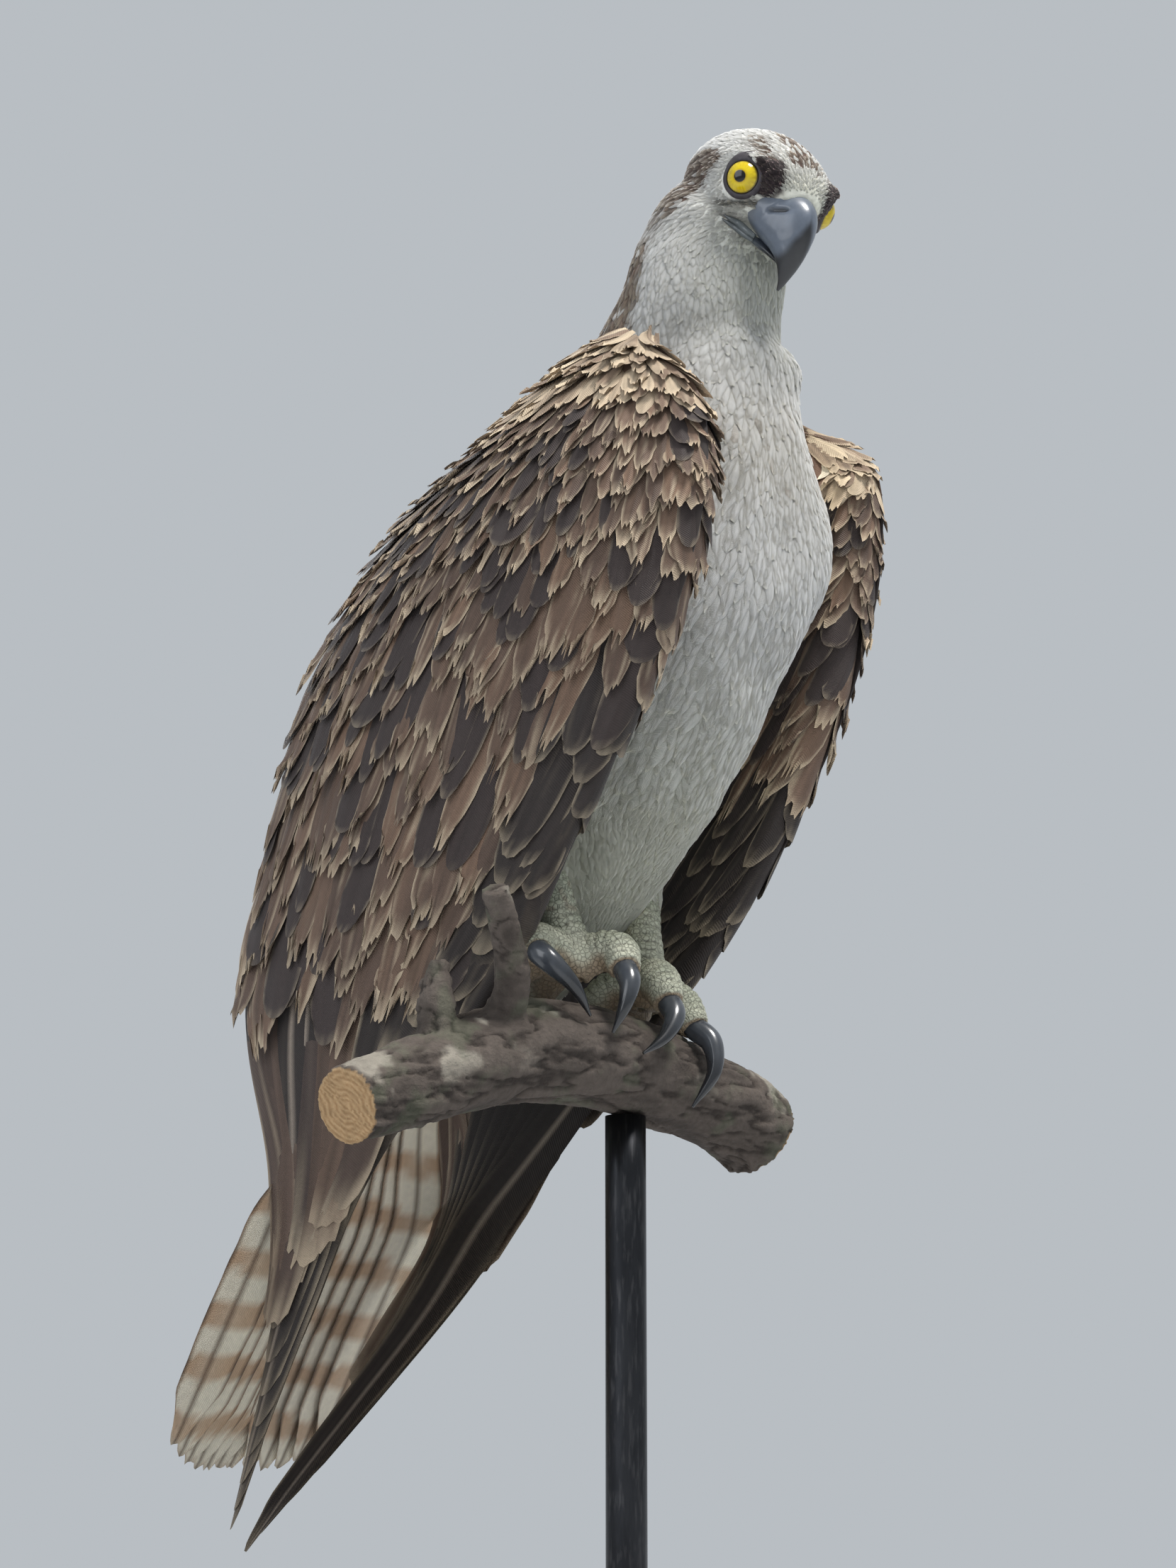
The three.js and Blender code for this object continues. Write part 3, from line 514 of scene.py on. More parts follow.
def markings(p, chance):
    """Colour of the plumage at places p. chance, a random number from 0 to 1 for each place,
    breaks the marks into feathers. Marks are bells and S curves of head places on the head, and
    of height and angle from the front on neck and body."""
    forward, up, left = head_place(p)
    off = np.abs(left)
    top = ease(above_neck(p), -8, 10)
    wobble = 0.35 * noise(p, 5.0, 5)
    # head: a stripe from behind the eye, widening down to the side of the neck
    begin = np.interp(up, [-50, -20, -8, 3], [-15.5, -14.5, -10.5, -10.5])
    crest = np.interp(forward, [-42, -30, -22, -11], [-6, 1.5, 6.0, 5.0])
    stripe = (ease(begin - forward + 4 * wobble, -1.2, 1.2)
              * ease(crest - up + 4 * wobble, -1.5, 1.5))
    stripe = stripe * np.where(chance < 0.9, 1, 0.5)
    # a dark patch before the eye, a thin dark line under it and grey round the mouth's corner
    patch = (ease(1 - np.hypot((forward - 9.0) / 5.8, (up - 4.4) / 7.2), -0.05, 0.15)
             * ease(off, 6.5, 8.5))
    under_eye = (bell(up, -9.4 + 0.6 * np.maximum(forward - 1, 0), 1.5) * ease(forward, -5, 0)
                 * ease(-forward, -18, -16) * ease(off, 5, 7))
    mouth = 0.75 * bell(up, -12.2, 1.9) * ease(forward, -2, 2) * ease(off, 6, 9)
    # streaks: a band along the middle of the crown and one over each eye
    middle_band = (ease(5.6 - off + 2.5 * wobble, -0.8, 0.8) * ease(forward, -14, -8)
                   * ease(-forward, -12.5, -10))
    brow_band = (bell(off, 12.4, 2.8) * ease(forward, -11, -6) * ease(-forward, -12.5, -9.5)
                 * ease(up, 6.5, 8.5))
    streak = (np.maximum(middle_band * (chance > 0.25), 1.1 * brow_band * (chance > 0.3))
              * ease(up, 5, 9))
    fleck = (0.8 * ease(forward, -24, -14) * ease(-forward, -14, -10) * ease(up, 6, 10)
             * (chance > 0.955))
    nape = ease(-forward, 34, 42) * (chance < 0.6) * 0.9
    head_dark = np.clip(np.maximum.reduce([stripe, patch, under_eye, mouth, streak, fleck, nape]),
                        0, 1) * top
    # neck and body: brown behind, white before
    aside = np.abs(p[..., 0] - np.interp(p[..., 2], [205, 298], [0, 6]))
    angle = np.degrees(np.arctan2(aside, -behind_axis(p)))
    start = np.interp(p[..., 2], [60, 150, 205, 235, 262, 290], [104, 100, 98, 104, 110, 120])
    behind = ease(angle + 16 * wobble, start - 7, start + 7)
    nape_clear = 0.35 * bell(angle, 180, 24) * ease(p[..., 2], 238, 262)
    back = (behind * (1 - nape_clear) * (1 - top)
            * np.where((chance < 0.9) | (p[..., 2] < 226), 1, 0.35))
    # a few faint streaks across the upper breast
    band = ease(p[..., 2], 168, 182) * ease(-p[..., 2], -214, -196) * ease(-angle, -80, -60)
    faint = 0.3 * band * (chance > 0.93)
    dark = np.clip(np.maximum(head_dark, back), 0, 1)
    tone = mix(DARK, BROWN, (0.15 + 0.7 * chance)[..., None])
    tone = mix(tone, rgb(44, 34, 38), (np.clip(patch, 0, 1) * top)[..., None])
    tone = mix(tone, rgb(70, 74, 72), (np.clip(mouth + under_eye, 0, 1) * top)[..., None])
    below = ease(-p[..., 2], -150, -40)
    warm = 0.5 * bell(p[..., 2], 196, 22) * bell(angle, 8, 26) + 0.25 * bell(p[..., 2], 60, 60)
    throat = 0.6 * bell(angle, 0, 60) * bell(p[..., 2], 258, 24)
    # painted shade: the lower body and the throat are tinted greenish grey for their shade and the
    # green light reflected onto them
    pale = mix(WHITE, PAINTED_SHADE, np.clip(0.8 * below + throat, 0, 1)[..., None])
    pale = mix(pale, CREAM, np.clip(warm, 0, 1)[..., None])
    pale = pale * (1 - 0.06 * chance)[..., None]
    colour = mix(pale, tone, dark[..., None])
    return mix(colour, TAN, faint[..., None]), dark * (1 - 0.85 * np.clip(patch, 0, 1) * top)


def flow(p):
    """The way feathers lie: away from the bill on the head, down the neck, down and back along
    the body, down each thigh. The parts are blended by S curves of height."""
    bill_root = in_head(17, -4)
    top = ease(above_neck(p), -10, 12)[..., None]
    head_way = unit(unit(p - bill_root) + np.array([0, 0.15, -0.45]))
    neck_way = unit(np.array([0, 0.06, -1.0]))
    body_way = unit(np.array([0, 0.42, -0.9]))
    low = ease(-p[..., 2], -232, -190)[..., None]
    down = mix(neck_way, body_way, low)
    spread = np.stack([p[..., 0] * 0.006, 0 * p[..., 0], 0 * p[..., 0]], -1)
    way = mix(down + spread * (1 - top), head_way, top)
    leg = (ease(-p[..., 2], -76, -58) * ease(-p[..., 1], -32, -18))[..., None]
    return mix(way, np.array([0, -0.12, -1.0]), leg)


# Thin closed vanes

VANE_THICKNESS = 0.34  # of the wings' and tail's feathers
ROOT_DEPTH = 0.5  # how far under the skin a coat feather starts
STRAY = 0.12  # spread of the coat feathers' turn from the lie, in radians
BAKE_PATCH = 0.0015  # half the side of a coat feather's place on the bake map


def vane_faces(rows, columns):
    """Quads of one thin vane, and which of its points are rim. Its upper and under faces are
    grids that share their rim, so it is closed."""
    upper = numbered(rows + 1, columns + 1)
    under = upper.copy()
    inside = (rows - 1) * (columns - 1)
    under[1:-1, 1:-1] = upper.size + np.arange(inside).reshape(rows - 1, columns - 1)
    rim = np.ones(upper.size + inside, bool)
    rim[upper[1:-1, 1:-1]] = False
    rim[upper.size:] = False
    return np.concatenate([grid_faces(upper), grid_faces(under)[:, ::-1]]), rim


def many_vanes(upper, under):
    """Points, quads and rim of many vanes from the grids (vane, row, column, 3) of their upper
    and under faces. Only the inside of the under grid is used."""
    count, rows, columns, _ = upper.shape
    quads, rim = vane_faces(rows - 1, columns - 1)
    points = np.concatenate([upper.reshape(count, -1, 3),
                             under[:, 1:-1, 1:-1].reshape(count, -1, 3)], 1)
    each = points.shape[1]
    faces = quads[None] + (np.arange(count) * each)[:, None, None]
    return points.reshape(-1, 3), faces.reshape(-1, 4), np.tile(rim, count)


def two_sided(upper, under):
    """Values on the grids (vane, row, column, part) of the upper and under faces, given to the
    points of many_vanes."""
    count, parts = upper.shape[0], upper.shape[-1]
    sides = upper.reshape(count, -1, parts), under[:, 1:-1, 1:-1].reshape(count, -1, parts)
    return np.concatenate(sides, 1).reshape(-1, parts)


def spread_over(grid):
    """Values that both faces of each vane share."""
    return two_sided(grid, grid)


def vane_grid(rows, columns):
    """Share of the length, 0 to 1, and of the half width, -1 to 1, on a vane's grid."""
    return np.linspace(0, 1, rows + 1)[None, :, None], np.linspace(-1, 1, columns + 1)[None, None]


def cell_patches(count, side, u, v):
    """Bake map of vanes, each in a cell of its own, with as many cells a side as given."""
    cell = np.stack([np.arange(count) % side, np.arange(count) // side], -1)[:, None, None]
    return (cell + 0.05 + 0.9 * stacked((u + 1) / 2, v)) / side


def unwrap_body(p):
    """Unwrap of the skin: the angle round the bird's own axis and the height."""
    u = np.arctan2(p[..., 0], -behind_axis(p)) / (2 * np.pi) + 0.5
    v = (p[..., 2] + 40) / 360
    return np.stack([0.02 + 0.96 * u, 0.02 + 0.96 * np.clip(v, 0, 1)], -1)


def pick_roots(points, gaps, seed):
    """Evenly scattered roots: points taken in random order, each keeping its gap clear."""
    rng = np.random.default_rng(seed)
    tree = KDTree(len(points))
    for i, p in enumerate(points):
        tree.insert(p, i)
    tree.balance()
    blocked = np.zeros(len(points), bool)
    taken = []
    for i in rng.permutation(len(points)):
        if not blocked[i]:
            taken.append(i)
            for _, j, _ in tree.find_range(points[i], gaps[i]):
                blocked[j] = True
    return np.array(taken)


def small_feathers(name, roots, normals, length, width, depth, seed, rows, columns):
    """Small feathers of the coat. Each is a thin vane that leaves the skin at its root, follows
    the lie for its length and rises to the coat's depth:
    along = length v, across = half width times a leaf shape of v, height = depth v^0.75 that sinks
    by v^4 at the tip, where random cuts split it. Every point is then laid over the skin."""
    rng = np.random.default_rng(seed)
    count = len(roots)
    v, u = vane_grid(rows, columns)
    turn = rng.normal(0, STRAY, count)
    way = flow(roots)
    way = unit(way - normals * dot(way, normals)[:, None])
    across = np.cross(way, normals)
    way, across = (way * np.cos(turn)[:, None] + across * np.sin(turn)[:, None],
                   across * np.cos(turn)[:, None] - way * np.sin(turn)[:, None])
    length = (length * rng.uniform(0.8, 1.2, count))[:, None, None]
    half = (width * rng.uniform(0.85, 1.15, count) / 2)[:, None, None]
    leaf = np.interp(v, [0, 0.25, 0.6, 0.85, 1], [0.35, 0.9, 1, 0.8, 0.3 if columns < 4 else 0.62])
    x = half * leaf * u
    y = length * (v - 0.12 * v ** 3 * np.abs(u))
    if columns > 2:
        split = rng.uniform(0, 1, (count, 1, columns + 1))
        y = y * (1 - 0.16 * split * v ** 3)
    lift = (depth * rng.uniform(0.85, 1.1, count))[:, None, None]
    x = x + rng.normal(0, 0.05, count)[:, None, None] * length * v ** 2
    z = (lift + ROOT_DEPTH) * v ** 0.75 * (1 - 0.3 * v ** 4) - ROOT_DEPTH - 0.42 * half * u ** 2 * v
    roots_at, across, way = (array[:, None, None] for array in (roots, across, way))
    place = roots_at + across * x[..., None] + way * y[..., None]
    points, faces, rim = many_vanes(near_skin.lay(place, z),
                                    near_skin.lay(place, z - 0.10 - 0.03 * half))
    chance = rng.uniform(0, 1, count)
    colour, dark = markings(roots, chance)
    tips = (v ** 2 * (0.2 + 0.8 * rng.uniform(0, 1, count)[:, None, None]))[..., None]
    worn = mix(colour[:, None, None], BUFF, 0.55 * tips * dark[:, None, None, None])
    # painted shade: each feather is darker towards its root, which lies under the feathers above
    # it, and a little towards its drooping sides
    shade = (1 - 0.10 * (1 - v) - 0.03 * u ** 2)[..., None]
    tint = worn * shade
    patch = unwrap_body(roots)[:, None, None] + BAKE_PATCH * stacked(u, 2 * v - 1)
    vane = stacked(x, y, chance[:, None, None] * 50)
    piece(name, points, faces, white_feather, rim=rim, tint=spread_over(tint),
          vane=spread_over(vane), unwrap=spread_over(patch))


# Materials

def new_material(name):
    """A new node material, its tree and its shader."""
    material = bpy.data.materials.new(name)
    material.use_nodes = True
    tree = material.node_tree
    return material, tree, tree.nodes["Principled BSDF"]


def node(tree, kind, inputs=None, **values):
    """A node with its settings and its inputs, each a number, colour or another node's socket."""
    made = tree.nodes.new(kind)
    for key, value in values.items():
        setattr(made, key, value)
    for key, value in (inputs or {}).items():
        if isinstance(value, bpy.types.NodeSocket):
            tree.links.new(value, made.inputs[key])
        else:
            made.inputs[key].default_value = value
    return made


def sums(tree, operation, *values):
    """The result of a Math node on numbers or sockets."""
    return node(tree, "ShaderNodeMath", dict(enumerate(values)), operation=operation).outputs[0]


def blend_colours(tree, share, a, b, kind="MIX"):
    """A colour between a and b."""
    made = node(tree, "ShaderNodeMix", data_type="RGBA", blend_type=kind)
    for key, value in ((0, share), (6, a), (7, b)):
        if isinstance(value, bpy.types.NodeSocket):
            tree.links.new(value, made.inputs[key])
        else:
            made.inputs[key].default_value = (*value, 1) if key and len(value) == 3 else value
    return made.outputs[2]


def attribute(tree, name, output="Color"):
    """A value that the mesh carries at each point."""
    return node(tree, "ShaderNodeAttribute", attribute_name=name).outputs[output]


def finish_with(shader, constants):
    """Sets numbers and colours on the shader's own sockets."""
    for key, value in constants.items():
        shader.inputs[key].default_value = value


def noise_value(tree, place, scale, **settings):
    """Noise on a place, from 0 to 1."""
    inputs = {"Vector": place, "Scale": scale, **settings}
    return node(tree, "ShaderNodeTexNoise", inputs).outputs[0]


def paint(tree, shader, tone):
    """Base colour: the mesh's own tint times a grey tone."""
    grey = node(tree, "ShaderNodeCombineColor", {0: tone, 1: tone, 2: tone}).outputs[0]
    colour = blend_colours(tree, 1.0, attribute(tree, "tint"), grey, "MULTIPLY")
    tree.links.new(colour, shader.inputs["Base Color"])


def bumped(tree, shader, height, strength, distance):
    """Relief: a height read as bump, full strength at a distance in metres."""
    bump = node(tree, "ShaderNodeBump", {"Height": height, "Strength": strength,
                                         "Distance": distance})
    tree.links.new(bump.outputs[0], shader.inputs["Normal"])


def feather_material(name, roughness, barb, strength, sheen, through=0.0):
    """Feather: the mesh's own colours with fine barbs, lines that leave the shaft at a slant,
    worked out from the place on the vane, and soft mottling."""
    material, tree, shader = new_material(name)
    place = node(tree, "ShaderNodeSeparateXYZ", {0: attribute(tree, "vane", "Vector")})
    side = sums(tree, "ABSOLUTE", place.outputs[0])
    slant = sums(tree, "SUBTRACT", place.outputs[1], sums(tree, "MULTIPLY", side, 0.8))
    wave = sums(tree, "SINE", sums(tree, "ADD", sums(tree, "MULTIPLY", slant, 6.2832 / barb),
                                   place.outputs[2]))
    object_place = node(tree, "ShaderNodeTexCoord").outputs["Object"]
    mottle = noise_value(tree, object_place, 420, Detail=3)
    tone = sums(tree, "ADD", 0.86, sums(tree, "ADD", sums(tree, "MULTIPLY", wave, 0.05),
                                        sums(tree, "MULTIPLY", mottle, 0.26)))
    paint(tree, shader, tone)
    finish_with(shader, {"Roughness": roughness, "Specular IOR Level": 0.28,
                         "Sheen Weight": sheen, "Sheen Roughness": 0.5})
    if through:
        finish_with(shader, {"Subsurface Weight": through, "Subsurface Radius": (1, 0.96, 0.88),
                             "Subsurface Scale": 0.006})
    bumped(tree, shader, sums(tree, "ADD", wave, mottle), strength, 0.00012)
    return material


def noise_material(name, tones, scale, roughness, strength, distance, stretch, metal=0.0):
    """A finish of three tones blended by noise on the place, with the same noise as bump."""
    material, tree, shader = new_material(name)
    place = node(tree, "ShaderNodeTexCoord").outputs["Object"]
    place = node(tree, "ShaderNodeMapping", {0: place, "Scale": stretch}).outputs[0]
    coarse = noise_value(tree, place, scale, Detail=8, Roughness=0.62)
    fine = noise_value(tree, place, scale * 4.3, Detail=4)
    first = node(tree, "ShaderNodeMapRange", {0: coarse, 1: 0.38, 2: 0.56}).outputs[0]
    second = node(tree, "ShaderNodeMapRange", {0: fine, 1: 0.52, 2: 0.68}).outputs[0]
    low = blend_colours(tree, first, tuple(tones[0]), tuple(tones[1]))
    tree.links.new(blend_colours(tree, second, low, tuple(tones[2])), shader.inputs["Base Color"])
    finish_with(shader, {"Roughness": roughness, "Metallic": metal})
    bumped(tree, shader, sums(tree, "ADD", coarse, sums(tree, "MULTIPLY", fine, 0.4)), strength,
           distance)
    return material


def tinted_material(name, roughness, grain, strength, distance, coat=0.0, coat_roughness=0.08,
                    specular=0.5, mottled=0.3, scales=0):
    """A finish that takes its colour from the mesh, broken by fine noise on the place and, where
    scales are asked for, by the distance to the edges of small irregular cells."""
    material, tree, shader = new_material(name)
    place = node(tree, "ShaderNodeTexCoord").outputs["Object"]
    fine = noise_value(tree, place, grain, Detail=6, Roughness=0.6)
    tone = sums(tree, "ADD", 1 - mottled / 2, sums(tree, "MULTIPLY", fine, mottled))
    if scales:
        cells = node(tree, "ShaderNodeTexVoronoi", {"Vector": place, "Scale": scales},
                     feature="DISTANCE_TO_EDGE").outputs["Distance"]
        plate = node(tree, "ShaderNodeMapRange", {0: cells, 1: 0.0, 2: 0.16}).outputs[0]
        tone = sums(tree, "MULTIPLY", tone, sums(tree, "ADD", 0.62,
                                                 sums(tree, "MULTIPLY", plate, 0.38)))
        fine = sums(tree, "ADD", sums(tree, "MULTIPLY", fine, 0.4), plate)
    paint(tree, shader, tone)
    finish_with(shader, {"Roughness": roughness, "Specular IOR Level": specular,
                         "Coat Weight": coat, "Coat Roughness": coat_roughness})
    bumped(tree, shader, fine, strength, distance)
    return material


white_feather = feather_material("soft_white_feather", 0.9, 0.5, 0.3, 0.08, through=0.7)
brown_feather = feather_material("firm_brown_feather", 0.62, 0.75, 0.5, 0.06)


# Coat of the body

def coat_size(p):
    """Length of the small feathers at places p, in millimetres, and the share of length that is
    their width: shortest at the bill and round the eye, longest on the belly and back."""
    forward, up, left = head_place(p)
    off = np.abs(left)
    top = ease(above_neck(p), -14, 6)
    face = np.minimum(np.hypot(forward - 16, (up + 4) * 0.9),
                      np.sqrt((forward - 0.5) ** 2 + up ** 2 + ((off - 18) * 0.8) ** 2) * 1.2)
    head = np.interp(face, [6, 14, 24, 40], [2.6, 4.2, 6.4, 8.5])
    body = np.interp(p[..., 2], [-30, 20, 90, 150, 200, 240, 270], [16, 20, 19, 17, 14, 10.5, 9])
    leg = ease(-p[..., 2], -84, -62) * ease(-p[..., 1], -30, -14)
    body = mix(body, 8.5, leg)
    behind = ease(behind_axis(p), -6, 12)
    body = body * (1 + 0.25 * behind * ease(-p[..., 2], -228, -190))
    share = mix(mix(0.42, 0.62, behind * ease(-p[..., 2], -228, -190)), 0.34, top)
    return mix(body, head, top), share


def coat(name, chosen, seed, density, rows=3, columns=2):
    """Feathers of one region: roots scattered a share of their length apart."""
    points, normals = root_points[chosen], root_normals[chosen]
    size, share = coat_size(points)
    taken = pick_roots(points, size * density, seed)
    points, normals, size, share = points[taken], normals[taken], size[taken], share[taken]
    depth = np.interp(size, [2.5, 8, 20], [0.6, 1.05, 1.6])
    small_feathers(name, points, normals, size, size * share, depth, seed + 1, rows, columns)


middles = skin_points[skin_quads].mean(1)
root_points = np.concatenate([skin_points, middles])
root_normals = np.concatenate([skin_normals, unit(skin_normals[skin_quads].sum(1))])
skin_tint, _ = markings(skin_points, np.full(len(skin_points), 0.5))
piece("skin", skin_points, skin_quads, white_feather,
      ("head", "neck", "torso", "thigh_right", "thigh_left"), tint=skin_tint * 0.9,
      vane=skin_points * 0.3, unwrap=unwrap_body(skin_points))

EYE_BARE = 8.4  # no feather starts nearer to the eye's middle
LOWEST_COAT = -28
head_forward_of, head_up_of, head_left_of = head_place(root_points)
on_head = above_neck(root_points) > 0
# bare places: round the eyes, before the bill and below the perch
from_eye = stacked(head_forward_of - 2.6, head_up_of - 0.8, np.abs(head_left_of) - 18.5)
eye_gap = np.linalg.norm(from_eye, axis=-1)
before_bill = on_head & (head_forward_of > 13.2 + 0.6 * head_up_of) & (head_up_of > -15)
bare = (eye_gap < EYE_BARE) | before_bill | (root_points[:, 2] < LOWEST_COAT)
leg_part = (root_points[:, 2] < 74) & (root_points[:, 1] < 22) & (np.abs(root_points[:, 0]) > 8)
front = behind_axis(root_points) < 0
neck_part = ~on_head & (root_points[:, 2] > 196)
coat("head_feathers", on_head & ~bare, 21, 0.22)
coat("neck_feathers", neck_part & ~bare, 31, 0.19, 4, 4)
coat("thigh_feathers", leg_part & ~bare, 41, 0.2)
coat("breast_feathers", front & ~on_head & ~neck_part & ~leg_part & ~bare, 51, 0.155, 4, 4)
coat("back_feathers", ~front & ~on_head & ~neck_part & ~leg_part & ~bare, 61, 0.2, 4, 2)


# Wings

# front edge, middle and back edge of each wing at ten stations from the shoulder to the tip
WINGS = {
    "right": [
        [(-53, -62, 216), (-50, -47, 223), (-43, -34, 226)],
        [(-60, -77, 195), (-64, -34, 202), (-32, 12, 204)],
        [(-65, -81, 164), (-75, -14, 168), (-31, 62, 176)],
        [(-66, -74, 127), (-78, 6, 130), (-32, 92, 143)],
        [(-63, -57, 90), (-73, 26, 92), (-34, 106, 108)],
        [(-57, -29, 48), (-64, 48, 52), (-38, 115, 66)],
        [(-50, 10, -4), (-57, 70, 0), (-47, 118, 4)],
        [(-43, 62, -58), (-49, 84, -56), (-50, 101, -56)],
        [(-34, 95, -104), (-35, 107, -104), (-32, 116, -104)],
        [(-19, 142, -170), (-17, 146, -171), (-14, 150, -171)]],
    "left": [
        [(54, -60, 216), (50, -47, 223), (43, -34, 226)],
        [(64, -77, 199), (62, -34, 202), (32, 12, 204)],
        [(69, -76, 164), (71, -14, 168), (31, 62, 176)],
        [(69, -67, 127), (72, 6, 130), (32, 92, 143)],
        [(66, -53, 90), (69, 26, 92), (34, 106, 108)],
        [(60, -30, 46), (62, 48, 50), (38, 115, 66)],
        [(51, 10, -6), (55, 70, 0), (47, 118, 4)],
        [(45, 56, -62), (48, 84, -58), (47, 101, -56)],
        [(38, 89, -103), (37, 106, -104), (32, 119, -104)],
        [(14, 154, -179), (13, 158, -179), (10, 162, -178)]]}
WING_LENGTH = 440
CORE_END = 268
CORE_THICKNESS = [11, 20, 23, 22, 17, 12, 8, 6, 4.5]
FLESH_DEPTH = 1.6  # how far the wing's flesh lies under the sheet


class WingSheet:
    """Outer sheet of a folded wing, kept as a table of places and normals. s is the distance
    from the shoulder and b runs from the front edge (0) to the back (1): across, the sheet is the
    parabola through the front, middle and back points of its stations. Before the front edge it
    rolls inwards round half the wing's thickness."""

    S = np.linspace(-6, 462, 235)
    B = np.linspace(0, 1, 41)

    def __init__(self, name):
        self.side = SIDES[name]
        rows = np.array(WINGS[name], float)
        fine = along(rows[:, 1], np.linspace(0, 1, 400))
        far = way_along(fine)
        t = np.interp(self.S / WING_LENGTH * far[-1], far, np.linspace(0, 1, 400))
        past = np.clip(self.S / WING_LENGTH - 1, 0, None) + np.clip(self.S / WING_LENGTH, None, 0)
        edge = along(rows, t)
        step = along(rows, np.minimum(t + 0.004, 1)) - along(rows, np.maximum(t - 0.004, 0))
        edge = edge + unit(step) * (past * WING_LENGTH)[:, None, None]
        b = self.B[None, :, None]
        self.place = (2 * (b - 0.5) * (b - 1) * edge[:, None, 0]
                      + 4 * b * (1 - b) * edge[:, None, 1]
                      + 2 * b * (b - 0.5) * edge[:, None, 2])
        down = np.gradient(self.place, axis=0)
        back = np.gradient(self.place, axis=1)
        self.normal = unit(np.cross(down, back)) * self.side
        self.wide = np.linalg.norm(np.diff(self.place, axis=1), axis=-1).sum(1)
        self.roll = along(CORE_THICKNESS, np.clip(self.S / CORE_END, 0, 1)) * 0.5
        self.roll = np.where(self.S > CORE_END, np.interp(self.S, [CORE_END, 330], [2.2, 0.8]),
                             self.roll)

    def table(self, values, s, b):
        """Values of a table at s and b, blended between its four nearest entries."""
        i = np.clip((s - self.S[0]) / (self.S[1] - self.S[0]), 0, len(self.S) - 1.001)
        j = np.clip(b, 0, 1) * (len(self.B) - 1.001)
        i0, j0 = i.astype(int), j.astype(int)
        x, y = (i - i0)[..., None], (j - j0)[..., None]
        return (values[i0, j0] * (1 - x) * (1 - y) + values[i0 + 1, j0] * x * (1 - y)
                + values[i0, j0 + 1] * (1 - x) * y + values[i0 + 1, j0 + 1] * x * y)

    def width(self, s):
        """Length of the line across the sheet at s."""
        return np.interp(s, self.S, self.wide)

    def at(self, s, b, lift):
        """The place at s, b and a height over the sheet. For b under 0 the way on is a roll:
        normal times cos plus forward times sin of the way gone over the roll's radius, and past
        the half turn back along the wing's inner side."""
        s, b, lift = np.broadcast_arrays(s, b, lift)
        p, n = self.table(self.place, s, b), unit(self.table(self.normal, s, b))
        ahead = unit(self.table(self.place, s, np.zeros_like(b))
                     - self.table(self.place, s, np.full(b.shape, 0.03)))
        radius = np.interp(s, self.S, self.roll)
        way = np.clip(-b, 0, None) * self.width(s)
        gone = np.minimum(way / np.maximum(radius, 1.5), np.pi)[..., None]
        r = radius[..., None]
        turned = n * np.cos(gone) + ahead * np.sin(gone)
        rolled = p - n * r + turned * r
        past = np.clip(way - np.pi * radius, 0, None) / self.width(s)
        inner_n = unit(self.table(self.normal, s, past))
        inner = (self.table(self.place, s, past) - inner_n
                 * (2 * r + 2.5 * np.minimum(past * 9, 1)[..., None]))
        inside = (past > 0)[..., None]
        rolled, turned = np.where(inside, inner, rolled), np.where(inside, -inner_n, turned)
        return np.where(b[..., None] < 0, rolled + turned * lift[..., None],
                        p + n * lift[..., None])


wing_sheets = {name: WingSheet(name) for name in SIDES}


def wing_core(name):
    """The wing's flesh: a ring of points round each section, along the outside from back to
    front, round the rolled front edge and back along the inside, thinned towards both ends."""
    sheet = wing_sheets[name]
    end = CORE_END - 6
    s = np.linspace(2, end, 60)[:, None]
    outer = sheet.at(s, np.append(np.linspace(0.985, 0, 28), -0.012)[None], -FLESH_DEPTH)
    thick = np.interp(s, np.linspace(0, CORE_END, 9), CORE_THICKNESS)
    thick = thick * np.interp(s, [2, 14, 200, end], [0.25, 1, 1, 0.15])
    b_in = np.linspace(0.0, 0.985, 28)[None, :]
    taper = np.sin(np.pi * np.clip(b_in, 0.0, 1)) ** 0.5 * 0.9 + 0.1
    inner = sheet.at(s, b_in, -FLESH_DEPTH - thick * taper)
    turn = np.linspace(0, np.pi, 9)[1:-1][None, :, None]
    a, z = outer[:, -1:], inner[:, :1]
    ahead = unit(sheet.at(s, np.array([[0.0]]), 0) - sheet.at(s, np.array([[0.03]]), 0))
    bulge = np.interp(s, sheet.S, sheet.roll)[..., None]
    nose = (a + z) / 2 + (a - z) / 2 * np.cos(turn) + ahead * np.sin(turn) * bulge * 0.8
    return closed_tube(np.concatenate([outer, nose, inner], 1))


FRESH = rgb(56, 47, 45)
FADED = rgb(110, 88, 73)
SANDY = rgb(212, 194, 166)
BLACKISH = rgb(42, 36, 34)


